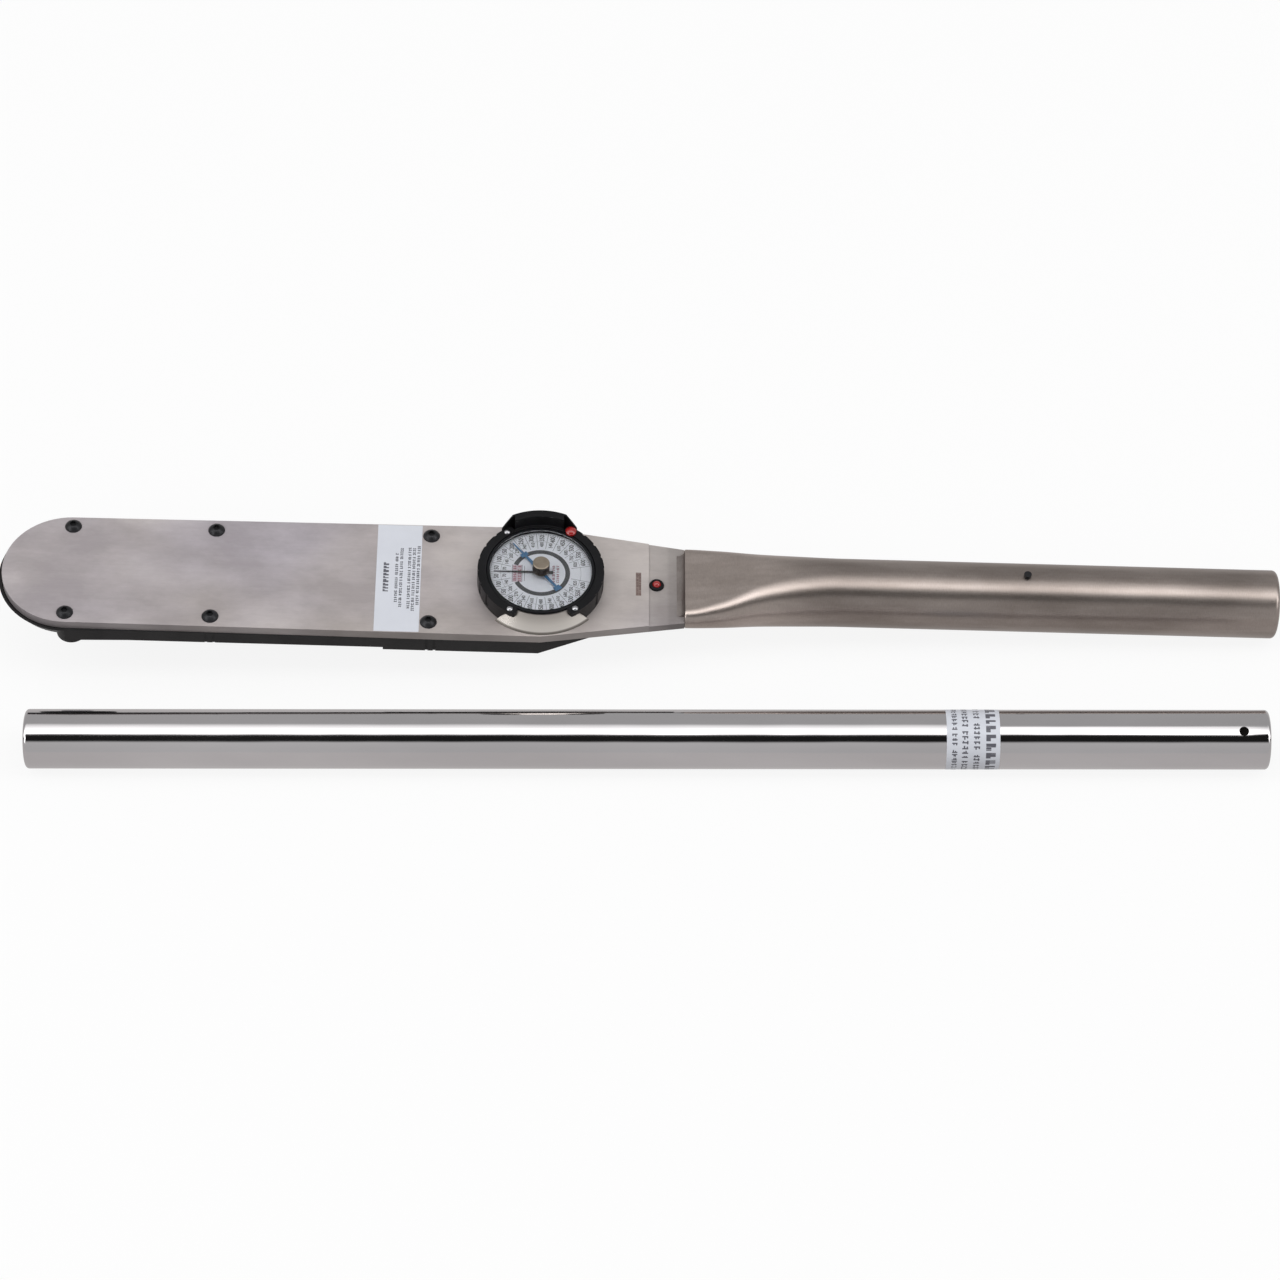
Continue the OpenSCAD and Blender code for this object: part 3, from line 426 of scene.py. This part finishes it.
def strokes(length, tall, wide, thick, gap):
    """Illegible writing: boxes (u0, u1, v0, v1) with u along the line and v across it, from 0 to tall."""
    out = []
    u = 0.0
    word = rng.randint(3, 7)
    while u + wide <= length:
        if word == 0:
            word = rng.randint(3, 8)
            u += wide * 0.8
            continue
        word -= 1
        stem = u + rng.choice((0.0, 0.0, (wide - thick) / 2, wide - thick))
        out.append((stem, stem + thick, 0.0, tall))
        for v in (rng.uniform(0.0, 0.3), rng.uniform(0.5, 0.82)):
            reach = rng.uniform(0.6, 1.0) * wide
            left = u if stem < u + wide / 2 else u + wide - reach
            out.append((left, left + reach, v * tall, v * tall + thick))
        u += wide + gap
    return out


def blocks(length, tall, wide, gap):
    """Bold illegible writing: solid blocks of uneven width, in the same form as strokes()."""
    out = []
    u = 0.0
    while u + wide * 0.6 <= length:
        w = min(wide * rng.uniform(0.6, 1.2), length - u)
        cut = rng.uniform(0.35, 0.6)
        out.append((u, u + w, 0.0, tall * cut))
        out.append((u, u + w * rng.uniform(0.45, 0.75), tall * cut, tall))
        u += w + gap
    return out


def writing(lines):
    """Rows for bars(), from lines of (x, y from, y to, letter height, stroke or 0 for blocks) along Y."""
    rows = []
    for x, y0, y1, tall, thick in lines:
        if thick:
            made = strokes(y1 - y0, tall, tall * 0.68, thick, tall * 0.2)
        else:
            made = blocks(y1 - y0, tall, tall * 0.72, tall * 0.17)
        for u0, u1, v0, v1 in made:
            rows.append((x + (v0 + v1) / 2, y0 + (u0 + u1) / 2, v1 - v0, u1 - u0, 0.0))
    return rows


def bars(name, rows, z0, z1):
    """Small flat bars, each given as centre x, centre y, length, width, angle."""
    bm = bmesh.new()
    for x, y, l, w, a in rows:
        c, s = math.cos(a), math.sin(a)
        pts = [(-l / 2, -w / 2), (l / 2, -w / 2), (l / 2, w / 2), (-l / 2, w / 2)]
        pts = [(x + px * c - py * s, y + px * s + py * c) for px, py in pts]
        low = [bm.verts.new((px, py, z0)) for px, py in pts]
        high = [bm.verts.new((px, py, z1)) for px, py in pts]
        bm.faces.new(low[::-1])
        bm.faces.new(high)
        for i in range(4):
            j = (i + 1) % 4
            bm.faces.new([low[i], low[j], high[j], high[i]])
    return new_object(name, bm)


# ---------------------------------------------------------------- plate, housing and handle
refine("frame_plate", M["plate"], 0.35)
refine("lower_housing", M["shell"], 0.5)
refine("head_boss", M["black_steel"], 0.8)
refine("square_drive", M["steel"], 0.5)
refine("plate_screws", M["black_steel"], 0.12, 40.0, 2)
refine("plate_nuts", M["black_steel"], 0.2)
refine("plate_label", M["label"], 0.04, 40.0, 1)
plain("handle_weld", M["weld"])
refine("latch_body", M["black_steel"], 0.15, 40.0, 2)


def stadium(x, w, h, steps=36):
    """A ring of points across the handle at x, with half width w and half height h and round sides."""
    c = max(w - h, 0.01 * MM)
    pts = []
    for side in (1, -1):
        for i in range(steps + 1):
            a = math.radians(-90 + 180 * i / steps) if side > 0 else math.radians(90 + 180 * i / steps)
            pts.append(Vector((x, side * c + h * math.cos(a), AXIS_Z + h * math.sin(a))))
    return pts


def smooth_at(keys, x):
    """Monotone cubic through (x, value) keys."""
    n = len(keys)
    d = [(keys[i + 1][1] - keys[i][1]) / (keys[i + 1][0] - keys[i][0]) for i in range(n - 1)]
    inner = [0.0 if a * b <= 0 else 2 * a * b / (a + b) for a, b in zip(d, d[1:])]
    m = [0.0, *inner, 0.0]
    for i in range(n - 1):
        if x <= keys[i + 1][0] or i == n - 2:
            h = keys[i + 1][0] - keys[i][0]
            t = min(max((x - keys[i][0]) / h, 0), 1)
            return ((2 * t ** 3 - 3 * t * t + 1) * keys[i][1] + (t ** 3 - 2 * t * t + t) * h * m[i]
                    + (-2 * t ** 3 + 3 * t * t) * keys[i + 1][1] + (t ** 3 - t * t) * h * m[i + 1])


half_w = (tube_hi.y - tube_lo.y) / 2
FLARE = 102 * MM              # length of the flattened mouth
EDGE = 0.9 * MM               # the mouth's rounded lip
BORE = 19.3 * MM
width_keys = [(0, half_w), (23 * MM, 28.8 * MM), (49 * MM, 25.2 * MM), (75 * MM, 23.3 * MM), (FLARE, HANDLE_R)]
height_keys = [(0, 7.7 * MM), (23 * MM, 10.9 * MM), (49 * MM, 17.1 * MM), (75 * MM, 20.7 * MM), (FLARE, HANDLE_R)]
rings = [stadium(MOUTH_X, half_w - EDGE, 6.8 * MM), stadium(MOUTH_X + 0.25 * MM, half_w - 0.3 * MM, 7.4 * MM)]
for i in range(41):
    s = EDGE + (FLARE - EDGE) * i / 40
    wide = smooth_at(width_keys, s)
    rings.append(stadium(MOUTH_X + s, wide, min(smooth_at(height_keys, s), wide)))
for s in (0.2, 0.5, 0.8, 1.0):
    rings.append(stadium(MOUTH_X + FLARE + s * (END_X - END_ROUND - MOUTH_X - FLARE), HANDLE_R, HANDLE_R))
for a in (12, 24, 36, 48, 60, 69):
    r = HANDLE_R - END_ROUND + END_ROUND * math.cos(math.radians(a))
    rings.append(stadium(END_X - END_ROUND + END_ROUND * math.sin(math.radians(a)), r, r))
for x, r in ((END_X - 0.15 * MM, BORE + 0.85 * MM), (END_X - 0.9 * MM, BORE), (END_X - 20 * MM, BORE),
             (MOUTH_X + FLARE, BORE), (MOUTH_X + 74 * MM, 15 * MM)):
    rings.append(stadium(x, r, r))
tube = ring_mesh("handle_tube_drawn", rings)
finish_mesh(tube, M["tube"], "wrench", 40)
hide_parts("handle_tube")

# ---------------------------------------------------------------- extension tube
ext_mid = (ext_lo + ext_hi) / 2
EXT_L = ((ext_hi.x - ext_lo.x) - 2 * EXT_R * math.sin(TILT)) / math.cos(TILT)
ROLL = math.radians(20)       # how far the tube's latch hole is rolled away from straight up
ext_start = ext_mid - U * (EXT_L / 2)
EXT = Matrix.Translation(ext_start) @ GROUND @ Matrix.Rotation(ROLL, 4, "X")
pipe = refine("extension_tube", M["chrome"], 0.0)
pipe.data.materials.append(M["scale"].m)
to_axis = EXT.inverted()
for p in pipe.data.polygons:
    c = to_axis @ p.center
    if math.hypot(c.y, c.z) < EXT_R - 0.4 * MM and 1 * MM < c.x < EXT_L - 1 * MM:
        p.material_index = 1
LABEL_L = 34 * MM
LAB0 = (centre("extension_label") - ext_start).dot(U) - LABEL_L / 2


def wrap(name, patches, r0, r1, material):
    """Thin curved patches on the extension, each from x0 to x1 and from angle a0 to a1 round it (0 is up)."""
    bm = bmesh.new()
    for x0, x1, a0, a1 in patches:
        k = max(2, int(abs(a1 - a0) / 4))
        turns = [math.radians(a0 + (a1 - a0) * i / k) - ROLL for i in range(k + 1)]
        grid = [[[bm.verts.new(EXT @ Vector((x, -r * math.sin(a), r * math.cos(a)))) for a in turns]
                 for x in (x0, x1)] for r in (r0, r1)]
        for i in range(k):
            for g in grid:
                bm.faces.new([g[0][i], g[1][i], g[1][i + 1], g[0][i + 1]])
            for side in (0, 1):
                bm.faces.new([grid[0][side][i], grid[1][side][i], grid[1][side][i + 1], grid[0][side][i + 1]])
        for i in (0, k):
            bm.faces.new([grid[0][0][i], grid[0][1][i], grid[1][1][i], grid[1][0][i]])
    bmesh.ops.recalc_face_normals(bm, faces=bm.faces)
    ob = new_object(name, bm)
    return finish_mesh(ob, material, "extension")


sleeve = []
for r, x in ((18.965, 0.05), (19.07, 0.05), (19.085, 0.2), (19.085, 33.8), (19.07, 33.95), (18.965, 33.95),
             (18.965, 0.05)):
    turns = [2 * math.pi * i / 128 for i in range(128)]
    sleeve.append([EXT @ Vector((LAB0 + x * MM, -r * MM * math.sin(a), r * MM * math.cos(a))) for a in turns])
band_film = ring_mesh("extension_label_film", sleeve, looped=True)
finish_mesh(band_film, M["label"], "extension", 50)
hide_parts("extension_label")


def around(x0, tall, wide, thick, gap, a0=-170.0, a1=170.0):
    """Writing that runs round the tube, as patches for wrap()."""
    turn = math.degrees(1 / (EXT_R + 0.04 * MM))
    length = (a1 - a0) / turn
    made = strokes(length, tall, wide, thick, gap) if thick else blocks(length, tall, wide, gap)
    return [(LAB0 + x0 + v0, LAB0 + x0 + v1, a0 + u0 * turn, a0 + u1 * turn)
            for u0, u1, v0, v1 in made]


heading = around(25.0 * MM, 6.2 * MM, 4.4 * MM, 0, 1.5 * MM)
lines = [patch for x, tall, wide, thick in ((17.2, 3.9, 2.5, 0.9), (9.8, 3.8, 2.4, 0.9), (3.4, 3.4, 2.2, 0.8))
         for patch in around(x * MM, tall * MM, wide * MM, thick * MM, 0.7 * MM)]
for name, patches in (("extension_label_heading", heading), ("extension_label_lines", lines)):
    wrap(name, patches, 19.075 * MM, 19.098 * MM, M["ink"])

# ---------------------------------------------------------------- dial
refine("dial_case", M["case"], 0.3)
refine("bezel_ring", M["bezel"], 0.15, 30.0, 2)
refine("guard_left", M["guard"], 0.55)
refine("guard_right", M["guard"], 0.55)
refine("far_hood", M["guard"], 0.7)
refine("guard_screws", M["steel"], 0.1, 40.0, 2)
refine("corner_lamp", M["red"], 0.3, 40.0, 2)
refine("signal_bezel", M["bezel"], 0.15, 40.0, 2)
knob = refine("memory_knob", M["knob"], 0.12, 40.0, 2)
# painted shade: the knob's side faces get the darker copy of its metal
knob.data.materials.append(M["knob_painted_shade"].m)
for p in knob.data.polygons:
    if abs(p.normal.z) < 0.5:
        p.material_index = 1
plain("signal_lens", M["red"])
plain("dial_glass", M["glass"])
plain("dial_face", M["face"])
plain("pointer", M["black_paint"])
plain("memory_hand", M["blue"])

CX, CY = dial.x, dial.y
FACE_Z = face_hi.z
INK0, INK1 = FACE_Z + 0.005 * MM, FACE_Z + 0.045 * MM
STEP = 14.0                   # degrees from one numbered division to the next
LAST = 12                     # divisions to each side of zero, which points away from the handle


def spoke(radius, length, width, a):
    """A row for bars(): a bar that points outwards from the dial's centre, at the angle a."""
    return (CX + radius * math.cos(a), CY + radius * math.sin(a), length, width, a)


hand_lo, hand_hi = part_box("memory_hand")
tab = bars("memory_hand_tab", [spoke(17.3 * MM, 3.0 * MM, 5.0 * MM, math.radians(129))],
           hand_lo.z + 0.04 * MM, hand_hi.z - 0.04 * MM)
finish_mesh(tab, M["blue"], "memory")
ticks, fine = [], []
for k in range(-LAST, LAST + 1):
    a = math.radians(180 + STEP * k)
    ticks.append(spoke(26.4 * MM, 12.6 * MM, 0.30 * MM, a))
    if k < LAST:
        fine += [spoke(31.95 * MM, 1.5 * MM, 0.14 * MM, a + math.radians(STEP * j / 5)) for j in range(1, 5)]
finish_mesh(bars("dial_divisions", ticks, INK0, INK1), M["dial_grey"], "bezel")
finish_mesh(bars("dial_graduations", fine, INK0, INK1), M["dial_ink"], "bezel")


def annulus(name, r0, r1, a0=0.0, a1=360.0, steps=96):
    """A flat printed ring, or part of one from a0 to a1 degrees."""
    bm = bmesh.new()
    full = a1 - a0 >= 360
    turns = [math.radians(a0 + (a1 - a0) * i / steps) for i in range(steps if full else steps + 1)]
    rows = [[bm.verts.new((CX + r * math.cos(a), CY + r * math.sin(a), z)) for a in turns]
            for r, z in ((r0, INK0), (r1, INK0), (r1, INK1), (r0, INK1))]
    for k in range(4):
        p, q = rows[k], rows[(k + 1) % 4]
        for i in range(steps):
            j = (i + 1) % len(turns)
            bm.faces.new([p[i], p[j], q[j], q[i]])
    if not full:
        for i in (0, steps):
            bm.faces.new([row[i] for row in rows])
    bmesh.ops.recalc_face_normals(bm, faces=bm.faces)
    return new_object(name, bm)


finish_mesh(annulus("dial_inner_ring", 15.9 * MM, 18.9 * MM, -153.0, 159.0, 90), M["dial_ink"], "bezel")
finish_mesh(annulus("dial_scale_arc", 32.55 * MM, 32.75 * MM), M["dial_grey"], "bezel")
finish_mesh(annulus("dial_mid_arc", 25.9 * MM, 26.05 * MM), M["dial_grey"], "bezel")


def numerals(name, radius, size, texts):
    """Numbers that read upright for someone at the handle end, one set between each two divisions."""
    made = []
    for k, text in texts:
        a = math.radians(180 + STEP * (k + 0.5 if k < 0 else k - 0.5))
        cu = bpy.data.curves.new(name + "_text", "FONT")
        cu.body = text
        cu.size = size
        cu.align_x, cu.align_y = "CENTER", "CENTER"
        cu.extrude = 0.018 * MM
        cu.offset = size * 0.02
        cu.resolution_u = 3
        ob = bpy.data.objects.new(name + "_text", cu)
        bpy.context.scene.collection.objects.link(ob)
        ob.matrix_world = (Matrix.Translation((CX + radius * math.cos(a), CY + radius * math.sin(a),
                                               FACE_Z + 0.024 * MM))
                           @ Matrix.Rotation(math.pi / 2, 4, "Z") @ Matrix.Diagonal((0.8, 1, 1, 1)))
        bpy.context.view_layer.update()
        me = bpy.data.meshes.new_from_object(ob.evaluated_get(bpy.context.evaluated_depsgraph_get()))
        me.transform(ob.matrix_world)
        bpy.data.objects.remove(ob)
        bpy.data.curves.remove(cu)
        made.append(bpy.data.objects.new(name + "_part", me))
    finish_mesh(join(name, made), M["dial_ink"], "bezel")


divisions = [k for k in range(-LAST, LAST + 1) if k]
numerals("dial_numbers_outer", 28.9 * MM, 4.3 * MM, [(k, str(50 * abs(k))) for k in divisions])
numerals("dial_numbers_inner", 23.6 * MM, 3.3 * MM, [(k, str(round(6.8 * abs(k)) * 10)) for k in divisions])

px, py = CX - 15.3 * MM, CY - 0.8 * MM
panel = [(px, py, 6.3 * MM, 14.2 * MM, 0.0)]
frame_lines = [(px - 3.2 * MM, py, 0.3 * MM, 14.2 * MM, 0.0), (px + 3.2 * MM, py, 0.3 * MM, 14.2 * MM, 0.0),
               (CX - 10.6 * MM, py, 0.3 * MM, 12.6 * MM, 0.0)]
marks = writing([(px + x * MM, py - 6.6 * MM, py + 6.6 * MM, 2.0 * MM, 0.42 * MM) for x in (-2.5, 0.5)]
                + [(CX + x * MM, CY - 7.6 * MM, CY + 7.0 * MM, 1.7 * MM, 0.38 * MM) for x in (7.4, 10.1)])
finish_mesh(bars("dial_panel", panel, INK0 - 0.003 * MM, INK0 + 0.012 * MM), M["blush"], "bezel")
finish_mesh(bars("dial_panel_frame", frame_lines, INK0, INK1), M["dial_grey"], "bezel")
finish_mesh(bars("dial_panel_marks", marks, INK0, INK1 - 0.006 * MM), M["rose"], "bezel")

# ---------------------------------------------------------------- plate film marks
def print_on(name, rows, z, low, high, material):
    """Flat marks on the wrench, from low to high millimetres above z."""
    finish_mesh(bars(name, rows, z + low * MM, z + high * MM), material, "wrench")


lab_lo, lab_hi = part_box("plate_label")
mid_y = (lab_lo.y + lab_hi.y) / 2
heading = writing([(lab_lo.x + 4.7 * MM, mid_y - 11.5 * MM, mid_y + 12.5 * MM, 3.5 * MM, 0)])
small = writing([(lab_lo.x + x * MM, mid_y - y0 * MM, mid_y + y1 * MM, 1.9 * MM, 0.5 * MM)
                 for x, y0, y1 in ((12.2, 20, 22), (15.2, 24, 26), (20.4, 25, 27), (23.3, 27, 26), (26.2, 22, 28))])
print_on("plate_label_heading", heading, lab_hi.z, 0.002, 0.03, M["ink"])
print_on("plate_label_lines", small, lab_hi.z, 0.002, 0.03, M["ink"])

led = centre("signal_bezel")
field = [(led.x - 11.8 * MM, led.y + 0.2 * MM, 3.5 * MM, 19.2 * MM, 0.0)]
legend = writing([(led.x - x * MM, led.y - 9.0 * MM, led.y + 9.4 * MM, 1.35 * MM, 0.42 * MM) for x in (13.2, 11.5)])
print_on("signal_legend_field", field, PLATE_TOP, 0.002, 0.014, M["field"])
print_on("signal_legend", legend, PLATE_TOP, 0.004, 0.03, M["legend"])

# ---------------------------------------------------------------- inside and underneath
refine("battery_door", M["door"], 0.2)
for kind, names in (
        ("bronze", ("drive_bushing",)),
        ("steel", ("torsion_bar",)),
        ("alloy", ("sensing_arm",)),
        ("black_steel", ("arm_clamp_screw",)),
        ("brass", ("movement_bridge", "bridge_pillars", "sector_gear", "battery_contact")),
        ("bright", ("drive_ball", "arm_pin", "stop_pins", "bridge_screws", "sector_arbor", "pinion_arbor",
                    "latch_ball", "signal_nut", "battery_cells")),
        ("board", ("signal_board",)),
        ("wire", ("signal_wires",)),
        ("guard", ("signal_switch", "battery_holder"))):
    for name in names:
        plain(name, M[kind])


def helix(name, node, axis, wire, turns):
    """A wound wire spring that fills the box of the plain ring stack it stands for."""
    lo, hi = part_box(node)
    mid = (lo + hi) / 2
    k = "XYZ".index(axis)
    length = hi[k] - lo[k] - 2 * wire
    side = [i for i in range(3) if i != k]
    radius = (hi[side[0]] - lo[side[0]]) / 2 - wire
    steps = 20 * turns
    rings = []
    for i in range(steps + 1):
        a = 2 * math.pi * turns * i / steps
        out = Vector((0, 0, 0))
        out[side[0]], out[side[1]] = math.cos(a), math.sin(a)
        along = Vector((0, 0, 0))
        along[k] = 1
        p = mid + out * radius + along * (length * (i / steps - 0.5))
        rings.append([p + (out * math.cos(b) + along * math.sin(b)) * wire
                      for b in [2 * math.pi * j / 8 for j in range(8)]])
    ob = ring_mesh(name, rings)
    finish_mesh(ob, M["steel"], body_name(node), 60)
    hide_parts(node)


helix("latch_spring_wound", "latch_spring", "Z", 0.15 * MM, 4)
helix("drive_spring_wound", "drive_spring", "Y", 0.25 * MM, 4)

# ---------------------------------------------------------------- floor, light and camera
class Tree:
    """A node tree that is written as nested calls: each call adds a node and links what it is given."""

    def __init__(self, tree):
        self.tree = tree

    def __call__(self, kind, *inputs, props=None, **named):
        """Inputs are sockets to link, values to set, or None to leave; named ones use _ for a space."""
        n = self.tree.nodes.new("ShaderNode" + kind)
        for key, value in (props or {}).items():
            setattr(n, key, value)
        given = list(zip(n.inputs, inputs)) + [(n.inputs[k.replace("_", " ")], v) for k, v in named.items()]
        for socket, value in given:
            if isinstance(value, bpy.types.NodeSocket):
                self.tree.links.new(value, socket)
            elif value is not None:
                socket.default_value = value
        return n


floor_mat = Mat("floor")
floor_mat.set(Base_Color=(0.8, 0.8, 0.8), Roughness=0.9, Metallic=0.0, Specular_IOR_Level=0.1)
add = Tree(floor_mat.t)
camera_ray = add("LightPath").outputs["Is Camera Ray"]
seen = add("Emission", (1.0, 1.0, 1.0, 1))
mirrored = add("Emission", (0.58, 0.565, 0.56, 1))
soft = add("MixShader", 0.12, seen.outputs["Emission"], floor_mat.bsdf.outputs["BSDF"])
pick = add("MixShader", camera_ray, mirrored.outputs["Emission"], soft.outputs["Shader"])
# seen from below it isn't there, and past the handle's end it fades out of sight under the carried extension
side = add("NewGeometry")
clear = add("BsdfTransparent")
at = add("SeparateXYZ", side.outputs["Position"])
fade = add("MapRange", props={"interpolation_type": "SMOOTHSTEP"}, Value=at.outputs["X"],
           From_Min=END_X + 10 * MM, From_Max=END_X + 120 * MM)
far = add("Math", fade.outputs["Result"], camera_ray, props={"operation": "MULTIPLY"})
hidden = add("Math", far.outputs[0], side.outputs["Backfacing"], props={"operation": "MAXIMUM"})
one_sided = add("MixShader", hidden.outputs[0], pick.outputs["Shader"], clear.outputs["BSDF"])
floor_mat.link(one_sided.outputs["Shader"], floor_mat.t.nodes["Material Output"].inputs["Surface"])

MID_X = 0.37                  # the middle of the object, along the wrench
FLOOR_GAP = 0.0002
bm = bmesh.new()
bmesh.ops.create_grid(bm, x_segments=1, y_segments=1, size=6.0)
floor_at = Matrix.Translation((MID_X, 0, GROUND_Z + MID_X * math.tan(TILT) - FLOOR_GAP)) @ GROUND
bmesh.ops.transform(bm, matrix=floor_at, verts=bm.verts)
floor = new_object("floor", bm)
floor.data.materials.append(floor_mat.m)

# the studio: bands of light that run along the wrench, by the angle from straight up towards the camera's side
world = bpy.data.worlds.new("studio")
bpy.context.scene.world = world
world.use_nodes = True
world.node_tree.nodes.clear()
add = Tree(world.node_tree)
way = add("TexCoord").outputs["Generated"]
turned = add("VectorRotate", props={"rotation_type": "Y_AXIS"}, Vector=way, Angle=TILT)
sep = add("SeparateXYZ", turned.outputs["Vector"])
neg = add("Math", sep.outputs["Y"], -1.0, props={"operation": "MULTIPLY"})
ang = add("Math", neg.outputs[0], sep.outputs["Z"], props={"operation": "ARCTAN2"})
fit = add("MapRange", Value=ang.outputs[0], From_Min=-math.pi, From_Max=math.pi)
band = add("ValToRGB", fit.outputs["Result"])
stops = [(-180, 0.062), (-92, 0.062), (-88, 0.057), (-25, 0.057), (-18, 0.12), (-4, 0.20), (4, 0.36),
         (15, 0.36), (20, 0.04), (24, 0.0016), (44, 0.0016), (51, 0.072), (74, 0.068), (94, 0.068),
         (180, 0.062)]
el = band.color_ramp.elements
while len(el) < len(stops):
    el.new(0.5)
for i, (deg, v) in enumerate(stops):
    el[i].position = (deg + 180) / 360
    el[i].color = (v, v, v, 1)
lit = add("Background", band.outputs["Color"], 8.0)
pale = add("Background", (0.98, 0.98, 0.98, 1))
sky = add("MixShader", add("LightPath").outputs["Is Camera Ray"], lit.outputs["Background"],
          pale.outputs["Background"])
add("OutputWorld", sky.outputs["Shader"])


def area(name, loc, aim, size, power):
    """A square soft light, with its place and aim on the ground plane's axes."""
    loc, aim = GROUND @ Vector(loc), GROUND @ Vector(aim)
    d = bpy.data.lights.new(name, "AREA")
    d.energy = power
    d.shape = "RECTANGLE"
    d.size = d.size_y = size
    o = bpy.data.objects.new(name, d)
    bpy.context.scene.collection.objects.link(o)
    o.location = loc
    o.rotation_mode = "QUATERNION"
    o.rotation_quaternion = (aim - loc).to_track_quat("-Z", "Y")


area("fill_left", (-1.6, -1.2, 1.6), (0.3, 0, 0), 1.2, 14)
area("fill_right", (2.4, -0.9, 1.5), (0.4, 0, 0), 1.0, 8)

ELEV = math.radians(52.2)
DIST = 2.8
FRAME_WIDTH = 0.831           # width of what the picture shows at the aim
CAM_ROLL = math.radians(0.05)
aim = GROUND @ Vector((0.3713, -0.028, 0.019)) + N * GROUND_Z * math.cos(TILT)
back = GROUND @ Vector((0, -math.cos(ELEV), math.sin(ELEV)))
up = GROUND @ Vector((0, math.sin(ELEV), math.cos(ELEV)))
cam_data = bpy.data.cameras.new("camera")
cam_data.sensor_width = 36.0
cam_data.lens = cam_data.sensor_width * DIST / FRAME_WIDTH
cam_data.clip_start, cam_data.clip_end = 0.05, 50
cam = bpy.data.objects.new("camera", cam_data)
bpy.context.scene.collection.objects.link(cam)
aim = aim + up * 0.5 * MM
up = (up - up.cross(back) * CAM_ROLL).normalized()
right = up.cross(back)
cam.matrix_world = Matrix.Translation(aim + back * DIST) @ Matrix((
    (right.x, up.x, back.x, 0), (right.y, up.y, back.y, 0), (right.z, up.z, back.z, 0), (0, 0, 0, 1)))
bpy.context.scene.camera = cam
bpy.context.scene.view_settings.view_transform = "Standard"
